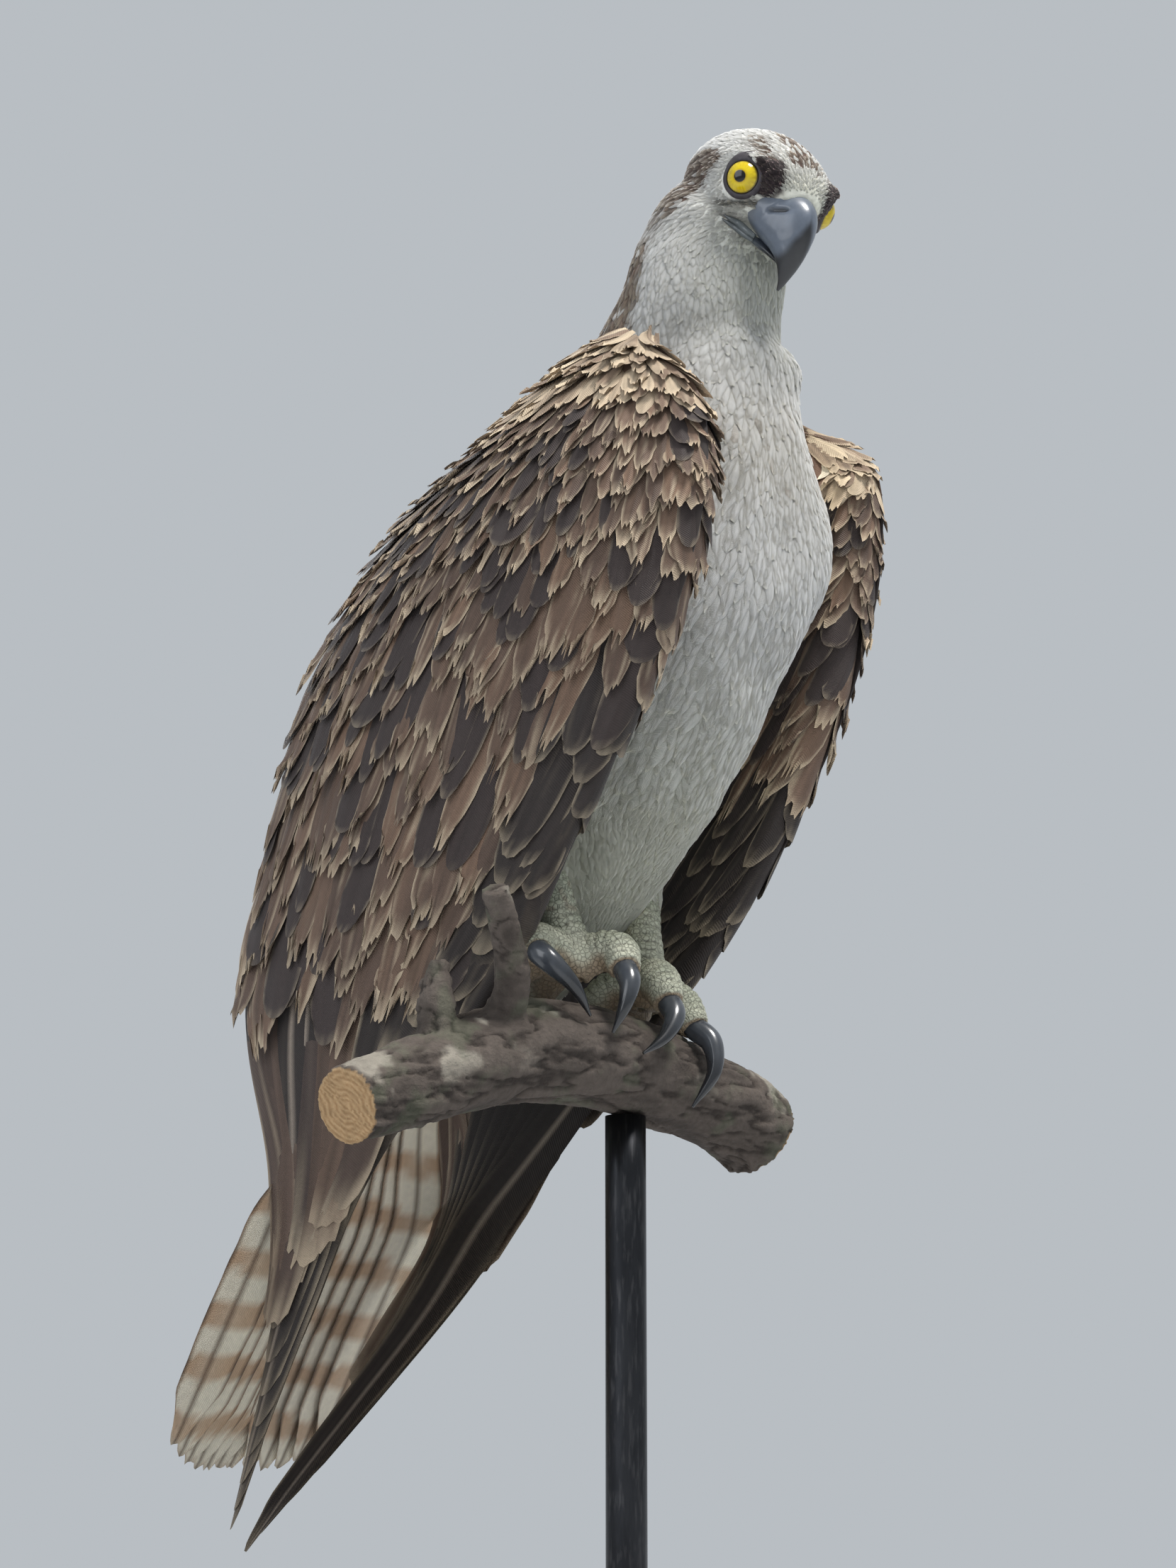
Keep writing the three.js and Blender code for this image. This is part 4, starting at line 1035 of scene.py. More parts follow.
def wing_feathers(name, piece_name, rows, seed, grid):
    """Large feathers over a wing sheet, each a thin vane of its own. A feather at s, b runs down
    the sheet for its length; across it stands half its width times a leaf shape; it rises from
    root to tip by v^0.8, cups across by u squared and curls at the tip by v^4. Worn ones end in
    uneven fingers: y is cut back by a random share at each column."""
    sheet = wing_sheets[name]
    rng = np.random.default_rng(seed)
    f = {key: np.array([r[key] for r in rows], float) for key in rows[0]}
    count = len(rows)
    steps, columns = grid
    v, u = vane_grid(steps, columns)

    def pick(key):
        """One number of every feather, shaped for the grid."""
        return f[key][:, None, None]

    worn, mark, pale_tip = pick("worn"), pick("mark"), pick("pale")
    leaf = np.interp(v, [0, 0.12, 0.4, 0.7, 1], [0.4, 0.72, 1, 1, 0.8])
    point = mix(1.0, np.interp(v, [0, 0.5, 0.8, 1], [1, 0.96, 0.72, 0.42]), pick("point"))
    rag_side = 0.10 * worn * ripple(3, v * 9, np.sign(u), mark) * np.abs(u)
    half = pick("width") / 2 * leaf * point * (1 + rag_side * (v > 0.3))
    column_cut = rng.uniform(0, 1, (count, 1, columns + 1)) ** 1.5
    short = np.minimum(60 / pick("length"), 1)
    y = v - 0.13 * v ** 6 * np.abs(u) ** 2.4 * (1 - 0.4 * worn) * short
    y = y * (1 - worn * 0.20 * short * column_cut * v ** 4)
    s = pick("s") + pick("length") * y
    wide = np.maximum(sheet.width(s), 14)
    middle = pick("b") - pick("drift") * pick("length") * v / wide + pick("bend") * v ** 2
    reach = half / wide
    low, high = pick("low") + reach, pick("high") - reach
    middle = np.where(low < high, np.clip(middle, low, np.maximum(high, low)), (low + high) / 2)
    b = middle - sheet.side * u * reach
    lift = mix(pick("root"), pick("tip"), v ** 0.8) + pick("curl") * v ** 4 - pick("cup") * u ** 2
    lift = lift + 0.5 * worn * ripple(9, v * 6, u * 1.5, mark) * v
    shaft = 0.28 * np.exp(-(u * 5) ** 2) * (1 - 0.6 * v)
    upper = sheet.at(s, b, lift + shaft)
    under = sheet.at(s, b, lift - VANE_THICKNESS)
    points, faces, rim = many_vanes(upper, under)
    # colours: class tone, pale worn rim and tip, dark shaft line
    base, edge_colour = (
        np.stack([f[kind + part] for part in ("red", "green", "blue")], -1)[:, None, None]
        for kind in ("", "edge_"))
    edge = ease(np.abs(u) + 0.08 * ripple(4, v * 14, u * 3, mark),
                0.93 - 0.30 * pale_tip, 1.06) * ease(v, 0.25, 0.6)
    tip = ease(v + 0.05 * ripple(8, v * 3, u * 6, mark),
               0.95 - 0.30 * pale_tip, 1.06)
    pale = np.clip(np.maximum(edge, tip) * (0.25 + 0.75 * pale_tip), 0, 1)[..., None]
    streaks = 0.30 * ripple(6, v * 2.5, u * 9, mark)[..., None]
    body = base * (1 + streaks * (0.5 + pale_tip)[..., None])
    fine = ripple(14, v * 2.2, u * 13, mark)
    worn_through = (ease(fine, 0.25, 0.7) * 0.5 * worn * ease(v, 0.2, 0.7))[..., None]
    tint = mix(body, edge_colour, np.maximum(pale, worn_through))
    line = (np.exp(-(u * pick("width") / 1.3) ** 2) * (1 - 0.5 * v))[..., None]
    tint = mix(tint, np.minimum(base * 0.55, 1), 0.6 * line * (1 - pick("pale_shaft")[..., None]))
    tint = mix(tint, rgb(180, 165, 150), 0.6 * line * pick("pale_shaft")[..., None])
    unwrap = cell_patches(count, int(np.ceil(np.sqrt(count))), u, v)
    vane = stacked(half * u, pick("length") * y, mark * 7)
    piece(piece_name, points, faces, brown_feather, rim=rim,
          tint=spread_over(tint), vane=spread_over(vane), unwrap=spread_over(unwrap))


def feather_row(rng, s, b, length, width, tip, **more):
    """One feather's sizes and colours. Its wear is drawn at random unless it is given."""
    worn = more.pop("worn", None)
    if worn is None:
        worn = rng.choice([0.0, 0.7, 1.0], p=[0.2, 0.45, 0.35])
    pale = more.pop("pale", np.clip(worn * rng.uniform(0.15, 0.85), 0, 1))
    tone = more.pop("tone", None)
    if tone is None:
        tone = mix(FRESH, FADED, worn * rng.uniform(0.6, 1.15))
    sizes = {"s": s, "b": b, "length": length, "width": width, "tip": tip,
             "worn": worn, "pale": pale, "root": -2.6,
             "drift": 0.05 + rng.normal(0, 0.05), "bend": rng.normal(0, 0.008),
             "point": 0.2 + 0.7 * worn, "curl": rng.uniform(-0.2, 1.4) * worn, "cup": 0.7,
             "mark": rng.uniform(0, 90), "pale_shaft": 0.0, "low": 0.0, "high": 1.0,
             "red": tone[0], "green": tone[1], "blue": tone[2],
             "edge_red": SANDY[0], "edge_green": SANDY[1], "edge_blue": SANDY[2]}
    sizes.update(more)
    return sizes


# big fresh feathers that have grown in over the worn ones: s, b, length and width
FRESH_ONES = [(62, 0.37, 33, 21), (76, 0.64, 26, 15), (98, 0.68, 28, 17), (116, 0.60, 38, 23),
              (118, 0.80, 32, 16), (158, 0.60, 34, 16), (186, 0.88, 52, 26), (204, 0.72, 52, 22),
              (140, 0.9, 36, 18), (40, 0.72, 18, 11)]


def covert_rows(name, seed):
    """Tiers of coverts from the shoulder down, each row closer set than the last is long. Places,
    lengths and widths run from the first row's to the last's."""
    rng = np.random.default_rng(seed)
    sheet = wing_sheets[name]
    lower = 0.6 if name == "left" else 1.0
    small, large = [], []
    for first, last, step, length, width, tip, store, low in (
            (-4, 68, 6.5, (18, 32), (7, 9.5), 2.3, small, -0.62),
            (74, 138, 11, (34, 50), (11, 14), 2.6, large, -0.5),
            (148, 206, 14, (50, 58), (13, 16), 2.3, large, -0.3)):
        for s in np.arange(first, last + 1, step):
            k = (s - first) / (last - first)
            wide = float(sheet.width(max(s + 15, 12)))
            each = mix(*width, k)
            count = int(np.ceil(wide * (1 - low) / (each * 0.62)))
            for i in range(count):
                b = low + (1 - low) * (i + rng.uniform(0.1, 0.9)) / count
                size = mix(*length, k) * rng.uniform(0.8, 1.2)
                more = {}
                if b < -0.25 and s < 3:
                    continue
                if b < -0.3:  # the lining, streaked brown and white
                    more["tone"] = mix(BROWN, CREAM,
                                       rng.choice([0.0, 0.25, 0.9], p=[0.45, 0.25, 0.3]))
                elif s < 26:  # the shoulder's top, sandy
                    more["tone"] = mix(FADED, SANDY, rng.uniform(0.0, 0.8))
                elif s > 126 and b < 0.13:  # the hand's dark small feathers at the front edge
                    more.update(tone=BLACKISH * 1.25, worn=0.1, pale=0.2)
                elif rng.uniform() < 0.08:  # fresh feathers among the worn
                    more.update(tone=FRESH, worn=0.0, pale=0.05)
                row = feather_row(rng, s + rng.uniform(-0.4, 0.4) * step, b, size,
                                  each * rng.uniform(0.8, 1.15), tip * lower + rng.uniform(0, 1.1),
                                  low=low - 0.02, high=1.0, **more)
                store.append(row)
    for s, b, length, width in FRESH_ONES:
        large.append(feather_row(rng, s, b, length, width, 3.6, worn=0.0, pale=0.04, tone=FRESH,
                                 point=0.1, bend=0, curl=0.2))
    return small, large


def flight_rows(seed):
    """Secondaries and tertials, then primaries, each over the next. The outermost primary lies
    at the front edge and reaches the wing's tip."""
    rng = np.random.default_rng(seed)
    rows = []
    for k in np.arange(9) / 8:
        length = mix(134, 160, k) * rng.uniform(0.94, 1.05)
        pale = 0.35 * rng.uniform(0.5, 1.2)
        tone = mix(FRESH, FADED, rng.uniform(0.1, 0.6))
        rows.append(feather_row(rng, mix(188, 208, k), mix(0.26, 0.93, k), length, 24,
                                mix(0.2, 1.8, k), worn=0.5, pale=pale, root=-3.4, tone=tone,
                                point=0.35, drift=0.02, cup=1.0))
    for k in np.arange(5) / 4:
        rows.append(feather_row(rng, mix(140, 176, k), mix(0.03, 0.30, k), mix(96, 108, k), 20,
                                1.7, worn=0.1, pale=0.22, root=-3.0, tone=BLACKISH * 1.25,
                                point=0.25, drift=0.03, cup=0.9))
    for k in np.arange(9) / 8:
        rows.append(feather_row(rng, 212, mix(0.1, 0.66, k), mix(444, 352, k ** 1.2) - 212, 24,
                                mix(-3.4, 0.4, k), worn=0.08, pale=0.10, root=mix(-4.4, -1.2, k),
                                tone=BLACKISH, point=0.75, drift=0, curl=0, bend=0, cup=0.8,
                                pale_shaft=1.0))
    return rows


for seed, name in enumerate(SIDES):
    small, large = covert_rows(name, 70 + seed)
    core_points, core_tris = wing_core(name)
    core_tint = mix(BLACKISH * 1.3, FADED, ease(core_points[:, 2], 180, 200)[:, None])
    core_unwrap = np.stack([(core_points[:, 1] + 100) / 260, (core_points[:, 2] + 190) / 430], -1)
    piece("wing_" + name + "_flesh", core_points, core_tris, brown_feather,
          ("wing_" + name,), tint=core_tint, vane=core_points * 0.2, unwrap=core_unwrap)
    wing_feathers(name, "wing_" + name + "_small_coverts", small, 80 + seed, (9, 6))
    wing_feathers(name, "wing_" + name + "_coverts", large, 90 + seed, (15, 9))
    wing_feathers(name, "wing_" + name + "_flight_feathers", flight_rows(100 + seed),
                  110 + seed, (44, 10))


# Tail

TAIL_START, TAIL_LENGTH, BAR_GAP = 34, 168, 21.5
tail_root = np.array([-2.0, 60, 22])
tail_run = unit(np.array([0, 98.0, -174]))
tail_side = np.array([1.0, 0, 0])
tail_up = np.cross(tail_side, tail_run)


def tail_place(x, d, h):
    """A place on the tail: x across, d down its line from the rump, h over its upper face."""
    x, d, h = np.broadcast_arrays(x, d, h)
    return tail_root + x[..., None] * tail_side + d[..., None] * tail_run + h[..., None] * tail_up


def tail_feathers(count=12, rows=46, columns=10):
    """Twelve tail feathers that part within their first half, the middle pair on top. Across,
    each is a leaf of its length; its bars are a wave of the distance from the root. The upper
    side is brown with dark bars, the under side pale with tan ones."""
    rng = np.random.default_rng(5)
    k = np.linspace(-1, 1, count)[:, None, None]
    out = np.abs(k)
    v, u = vane_grid(rows, columns)
    length = TAIL_LENGTH * (1 - 0.07 * out ** 3)
    apart = ease(v, 0.05, 0.46)
    leaf = np.interp(v, [0, 0.3, 0.7, 0.9, 1], [0.5, 0.95, 1, 0.86, 0.5])
    half = 14 * leaf * (1 + 0.02 * ripple(2, v * 20, u, k * 9))
    x = k * mix(13, 39, apart) + u * half
    lift = mix(0.6 - 4.4 * out, 1.2 - 6.2 * out + 0.65 * ((k > 0) & (out < 0.2)),
               np.minimum(2 * v, 1))
    lift = lift - 0.9 * u ** 2 + 0.3 * np.exp(-(u * 6) ** 2)
    fray = rng.uniform(0, 1, (count, 1, columns + 1))
    y = v - 0.075 * v ** 7 * np.abs(u) ** 2.2 - 0.012 * fray * v ** 6
    d = TAIL_START + length * y
    points, faces, rim = many_vanes(tail_place(x, d, lift), tail_place(x, d, lift - VANE_THICKNESS))
    wobble = 2.2 * ripple(1, d * 0.12, u * 1.8, k * 17)
    phase = (d + wobble + 1.5 * np.abs(u) - 118) / BAR_GAP
    bars = ease(np.cos(2 * np.pi * phase), 0.0, 0.55) * ease(d, 50, 70) * ease(-d, -200, -190)
    rufous = rgb(172, 120, 70)
    tint = mix(rgb(238, 230, 210), rufous, (0.72 * bars * (0.7 + 0.3 * np.abs(u)))[..., None])
    shaft_line = np.exp(-(u * 10) ** 2)[..., None]
    tint = mix(tint, rgb(90, 66, 48), 0.75 * shaft_line)
    above = mix(rgb(134, 108, 86), rgb(70, 55, 46), (0.85 * bars)[..., None])
    above = mix(above, rgb(214, 200, 178), (0.8 * ease(v, 0.95, 1.0))[..., None])
    above = mix(above, rgb(52, 40, 34), 0.6 * shaft_line)
    both = two_sided(above, tint)
    vane = stacked(u * half, d, k * 30)
    piece("tail_feathers", points, faces, tail_feather, ("tail",), rim, both,
          spread_over(vane), spread_over(cell_patches(count, 4, u, v)))


tail_feather = feather_material("barred_tail_feather", 0.72, 0.8, 0.45, 0.05)
tail_feathers()


# Bill

# forward and up of the ridge, the same of the lower edge, and half the width
UPPER_BILL = np.array([
    [7, 4.6, 2.5, -14.5, 13.2], [13.5, 4.4, 8.2, -16.2, 11.4], [19.5, 3.2, 13.5, -17.6, 9.2],
    [24, 0.4, 17.2, -18.6, 7.4], [26.9, -4.8, 19.8, -19.6, 5.8], [28.2, -11.2, 22.2, -21.2, 4.4],
    [28.2, -17.6, 24.2, -23.2, 3.0], [27.4, -23.4, 25.6, -25.2, 1.7],
    [26.4, -27.8, 26.1, -28.0, 0.5]])
LOWER_BILL = np.array([
    [0, -14.5, -2, -18.6, 8.6], [8, -15, 7, -19.2, 7.8], [14, -16.4, 13.5, -19.6, 6],
    [18, -17.6, 17.6, -20, 4], [20.4, -19, 20, -20.4, 1.6]])
BILL_BLUE = rgb(86, 94, 106)
BILL_BLACK = rgb(24, 25, 29)


NOSTRIL_FORWARD, NOSTRIL_UP = 16.2, -3.6


def from_nostril(forward, up):
    """Distance along the nostril's slanting slit from its middle, and across it."""
    ahead, above = forward - NOSTRIL_FORWARD, up - NOSTRIL_UP
    return ahead * 0.88 + above * 0.47, ahead * 0.47 - above * 0.88


def bill_rings(rows, steps, sides, keel):
    """Rings of a bill: across each, width times cos and height times sin of the angle, where the
    width shrinks towards the ridge by a share, keel, of the sine."""
    t = np.linspace(0, 1, steps) ** 0.9
    f1, u1, f2, u2, wide = along(rows, t).T[:, :, None]
    a = around(sides)[None, :]
    high = np.sin(a)
    high = np.sign(high) * np.abs(high) ** 0.92
    forward = (f1 + f2) / 2 + (f1 - f2) / 2 * high
    up = (u1 + u2) / 2 + (u1 - u2) / 2 * high
    left = wide * np.cos(a) * (1 - keel * high)
    return forward, up, left


def make_bill():
    """The bill's two halves. The cere is a swelling that ends in a step, the nostril a slanting
    slit sunk as a bell across and along, the cutting edge a slight wave."""
    forward, up, left = bill_rings(UPPER_BILL, 150, 112, 0.2)
    cere = ease(-forward - 0.25 * np.abs(up), -15.4, -14.2) * ease(up, -10, -4)
    length, across = from_nostril(forward, up)
    slit = np.exp(-(across / 0.8) ** 2) * np.exp(-(length / 3.2) ** 4) * ease(np.abs(left), 4, 6.5)
    wave = 0.5 * bell(forward, 15, 3.5) * ease(-up, 8, 11)
    left = left + np.sign(left) * (0.45 * cere - 1.7 * slit + wave * 0.4)
    up_moved = up + 0.3 * cere * ease(up, 2, 7) + wave * 0.8
    rings = in_head(forward, up_moved, left)
    rings = rings + head_side * 0.07 * noise(rings, 2.2, 4)[..., None]
    points, tris = closed_tube(rings)
    f, u, l = head_place(points)
    dark = ease(-np.abs(l) - 0.32 * u + 0.25 * (f - 20) + 0.6 * noise(points, 4.0, 2), 0.3, 3.2)
    tint = mix(BILL_BLUE, BILL_BLACK, dark[:, None])
    tint = tint * (1 + 0.12 * rough(points, 5.0, 9, 3))[:, None]
    base = ease(-f, -12.0, -7.5)
    tint = mix(tint, rgb(88, 92, 96), (0.6 * base)[:, None])
    # painted shade: the sunk nostril slit is painted near black for the shade inside its opening
    length, across = from_nostril(f, u)
    slit_shade = np.exp(-across ** 2 / 0.5) * np.exp(-(length / 3.2) ** 4)
    tint = mix(tint, rgb(10, 10, 12), (0.97 * slit_shade)[:, None])
    tint = tint * (1 + 0.10 * noise(points, 1.6, 12))[:, None]
    unwrap = np.stack([0.5 + l / 26, (u + 30) / 42], -1)
    piece("upper_bill", points, tris, bill_horn, ("bill_upper",), tint=tint,
          vane=points, unwrap=unwrap)
    forward, up, left = bill_rings(LOWER_BILL, 70, 84, -0.12)
    rings = in_head(forward, up, left * 0.97)
    points, tris = closed_tube(rings)
    f, u, l = head_place(points)
    tint = mix(BILL_BLUE * 0.8, BILL_BLACK, ease(f, 9, 17)[:, None])
    piece("lower_bill", points, tris, bill_horn, ("bill_lower",), tint=tint,
          vane=points, unwrap=np.stack([0.5 + l / 26, (f + 2) / 28], -1))
    # the corners of the mouth: a fold on each side that runs from the bill back under the eye
    folds = []
    for side in (-1, 1):
        for low, radius in ((0.0, 1.3), (-1.6, 1.05)):
            line = in_head([12.5, 9.0, 5.6, 2.6, -0.3],
                           np.array([-15.4, -14.9, -14.4, -14.1, -13.9]) + low,
                           side * np.array([9.6, 11.8, 13.7, 15.3, 17.0]))
            line[2:] = near_skin.lay(line[2:], np.array([0.6, 0.5, 0.0]))
            folds.append(tube(line, [radius * 0.7, radius, radius, radius * 0.75, 0.3],
                              head_up).closed(40, 18))
    points, tris = gather(folds)
    f, u, l = head_place(points)
    tint = mix(rgb(74, 80, 82), rgb(46, 46, 46), ease(-f, -8, 3)[:, None])
    piece("gape", points, tris, bill_horn, tint=tint, vane=points,
          unwrap=np.stack([0.5 + l / 50, (f + 10) / 40], -1))


bill_horn = tinted_material("bill_horn", 0.34, 900, 0.25, 0.0001, coat=0.25, mottled=0.25)
make_bill()


# Eyes and lids

IRIS, PUPIL = 5.75, 2.15  # how far from the line of sight each reaches
LID_RING, LID_RISE = 6.65, 4.5  # the lids' ring: radius, and height over the eye's middle


def make_eye(name, side):
    """An eyeball turned about its line of sight, with a bulge over the iris: radius times a bell
    of the angle. Rings of colour by distance from that line: pupil, fibres, dark rim."""
    centre = in_head(EYE["forward"], EYE["up"], side * EYE["out"])
    ahead, above, out = EYE["look"]
    look = unit(head_forward * ahead + head_up * above + head_side * side * out)
    first = unit(head_up - look * dot(head_up, look))
    second = np.cross(look, first)
    away = np.linspace(0.012, np.pi - 0.012, 90)[:, None]
    turn = around(128)[None, :]
    r = EYE["radius"] * (1 + 0.045 * np.exp(-(away / 0.62) ** 4))
    off = r * np.sin(away)
    rings = (centre + look * (r * np.cos(away))[..., None] + first * (off * np.cos(turn))[..., None]
             + second * (off * np.sin(turn))[..., None])
    points, tris = closed_tube(rings)
    q = points - centre
    height = q @ look
    far = np.linalg.norm(q - height[:, None] * look, axis=1)
    spin = np.arctan2(q @ second, q @ first)
    fibres = 0.5 + 0.5 * noise(np.stack([spin * 9, far * 0.8, 0 * far], -1), 1.0, 2)
    yellow = mix(rgb(204, 182, 22), rgb(168, 138, 10), (0.8 * fibres * ease(far, 2, 5))[:, None])
    yellow = mix(rgb(190, 158, 12), yellow, ease(far, PUPIL, PUPIL + 1.0)[:, None])
    tint = mix(rgb(7, 7, 8), yellow, ease(far, PUPIL - 0.12, PUPIL + 0.16)[:, None])
    tint = mix(tint, rgb(30, 24, 18), ease(far, IRIS - 0.75, IRIS - 0.05)[:, None])
    tint = np.where((height < 0)[:, None], rgb(30, 24, 18), tint)
    unwrap = np.stack([0.5 + (q @ second) / 17, 0.5 + (q @ first) / 17], -1)
    piece("eyeball_" + name, points, tris, eye_gloss, ("eye_" + name,), tint=tint,
          vane=points, unwrap=unwrap)
    # lids: a thick ring whose section is a flattened loop, drawn down a little at the top
    loop = around(20)[None, :]
    theta = around(120)[:, None]
    top = np.maximum(np.cos(theta), 0)
    creases = ripple(7, np.cos(theta) * 5, np.sin(theta) * 5, np.cos(loop) * 1.2)
    folds = 1 + 0.07 * np.sin(9 * loop) * (0.5 + 0.5 * np.sin(theta * 3 + 1)) + 0.05 * creases
    # the dark lid ring is wider at the top, partly as lid and partly as painted shadow of the brow
    # over the eye
    wide = (0.95 + 1.05 * top) * folds
    ring_at = LID_RING + 1.05 * top + wide * np.cos(loop)
    rise = (LID_RISE - 0.42 * np.maximum(ring_at - 5.0, 0) ** 1.3 + 0.95 * folds * np.sin(loop)
            * (1 + 0.25 * top))
    rings = (centre + look * rise[..., None] + first * (ring_at * np.cos(theta))[..., None]
             + second * (ring_at * np.sin(theta))[..., None])
    points = rings.reshape(-1, 3)
    index = numbered(*rings.shape[:2])
    quads = outwards(points, grid_faces(np.concatenate([index, index[:1]]), ring=True))
    tint = mix(rgb(32, 27, 31), rgb(74, 68, 74), (0.3 + 0.35 * noise(points, 1.3, 3))[:, None])
    unwrap = 0.05 + 0.9 * stacked(theta, loop).reshape(-1, 2) / (2 * np.pi)
    piece("lids_" + name, points, quads, lid_skin, tint=tint, vane=points,
          unwrap=unwrap)


eye_gloss = tinted_material("eye_gloss", 0.14, 1500, 0.02, 0.00002, coat=0.45, coat_roughness=0.02,
                            specular=0.25, mottled=0.1)
lid_skin = tinted_material("lid_skin", 0.55, 2200, 0.5, 0.0002, mottled=0.35)
for name, side in SIDES.items():
    make_eye(name, side)


# Feet and claws

TOE_RADII = [8.05, 7.0, 7.42, 5.6]
TOE_SIDE = (1, 0.3, 0)
SHANK_RADII = [8.6, 6.8, 7.2, 7.8]
CLAW_RADII = [4.2, 4.1, 3.1, 1.93, 0.5]


def make_foot(name):
    """Toes and bare shank melted into one skin, then bands of scutes raised on top of each toe:
    height times a rounded saw of the distance along the nearest toe's line."""
    foot = FEET[name]
    toes = [[foot["middle"], *toe] for toe in foot["toes"].values()]
    shank = [foot["middle"], *foot["shank"]]
    lines = [*[evenly(toe, 80) for toe in toes], evenly(shank, 120)]
    shapes = [*[tube(toe, TOE_RADII, TOE_SIDE) for toe in toes],
              tube(shank, SHANK_RADII, (1, 0, 0))]
    shapes = [shape.closed(30, 36, -0.25) for shape in shapes]
    points, quads = melt("foot_form", shapes, voxel=0.75, smooth=5)
    normals = point_normals(points, quads)
    all_line = np.concatenate(lines)
    far = np.concatenate([way_along(line) for line in lines])
    which = np.concatenate([np.full(len(line), n) for n, line in enumerate(lines)])
    nearest = np.concatenate([((chunk[:, None] - all_line[None]) ** 2).sum(-1).argmin(1)
                              for chunk in np.array_split(points, 30)])
    way, toe = far[nearest], which[nearest]
    on_toe = toe < 4
    upper = np.where(on_toe, normals[:, 2], -normals[:, 1])
    band = np.abs(np.sin(np.pi * (way + 0.4 * noise(points, 2.5, 3))
                         / np.where(on_toe, 2.5, 3.2))) ** 0.5
    scute = 0.65 * (band - 0.5) * ease(upper, -0.3, 0.3) * ease(way, 5, 9)
    grain = 0.3 * np.abs(noise(points, 1.8, 8)) + 0.25 * noise(points, 5, 2) * (~on_toe)
    pads = 0.5 * noise(points, 2.2, 5) * ease(-normals[:, 2], 0.1, 0.5) * on_toe
    points = points + normals * (scute + grain + pads)[:, None]
    pale, green, rust = rgb(186, 187, 168), rgb(140, 146, 128), rgb(140, 112, 84)
    tint = mix(pale, green, np.clip(0.35 + 0.6 * noise(points, 7, 4), 0, 1)[:, None])
    groove = np.clip((0.7 - band) * 1.9, 0, 1) * ease(upper, -0.3, 0.3) * ease(way, 4, 8)
    tint = mix(tint, rgb(92, 90, 80), (0.8 * groove)[:, None])
    tint = mix(tint, rust, (0.75 * ease(-normals[:, 2], -0.05, 0.6) * on_toe)[:, None])
    speck = ease(noise(points, 3.0, 11), 0.25, 0.5) * ease(points[:, 2], 22, 34)
    tint = mix(tint, rgb(120, 96, 78), (0.5 * speck)[:, None])
    spin = np.arctan2(points[:, 1] + 8, points[:, 0] - foot["middle"][0])
    unwrap = np.stack([0.5 + spin / (2 * np.pi) * 0.96, (points[:, 2] + 10) / 90], -1)
    piece("foot_skin_" + name, points, quads, foot_skin, ("foot_" + name,),
          tint=tint, vane=points, unwrap=unwrap)


def make_claw(name, toe):
    """A claw: a tapering tube, a little narrower than deep."""
    foot = FEET[name]
    _, knuckle, end = (np.array(p, float) for p in foot["toes"][toe])
    line = np.array([mix(end, knuckle, 0.35), end, *foot["claws"][toe]])
    made = tube(line, CLAW_RADII, TOE_SIDE)
    made.widths = made.widths * 0.94
    t = np.linspace(0, 1, 80) ** 0.85
    points, tris = closed_tube(made.rings(80, 32, t=t))
    shade = np.concatenate([np.repeat(t, 32), [0, 1]])
    tint = mix(rgb(62, 66, 72), rgb(22, 24, 28), ease(shade, 0.25, 0.7)[:, None])
    tint = tint * (1 + 0.25 * noise(points * [1, 1, 0.4], 1.6, 5))[:, None]
    unwrap = np.stack([np.concatenate([np.tile(np.linspace(0, 1, 32), 80), [0.5, 0.5]]), shade], -1)
    replaced = "claw_" + name + "_" + toe
    piece("talon_" + name + "_" + toe, points, tris, claw_horn, (replaced,), tint=tint,
          vane=points, unwrap=unwrap)


foot_skin = tinted_material("foot_skin", 0.6, 1500, 0.8, 0.0003, mottled=0.4, scales=620)
claw_horn = tinted_material("claw_horn", 0.26, 700, 0.18, 0.0001, coat=0.35, mottled=0.3)
for name, foot in FEET.items():
    make_foot(name)
    for toe in foot["toes"]:
        make_claw(name, toe)


# Perch and stand

BRANCH_LINE = [(-128, 30), (-96, 19), (-62, 7), (-30, 1), (0, 1), (30, 5), (62, 11), (80, 19)]
BRANCH_RADII = [13.5, 15, 17, 18, 18, 18, 17.5, 17]


def perch_place(t, drop):
    """A place along the branch, t from the bird's right, dropped below its top line."""
    turn = np.radians(6)
    return (t * np.cos(turn), -10 - t * np.sin(turn), -18 - drop)


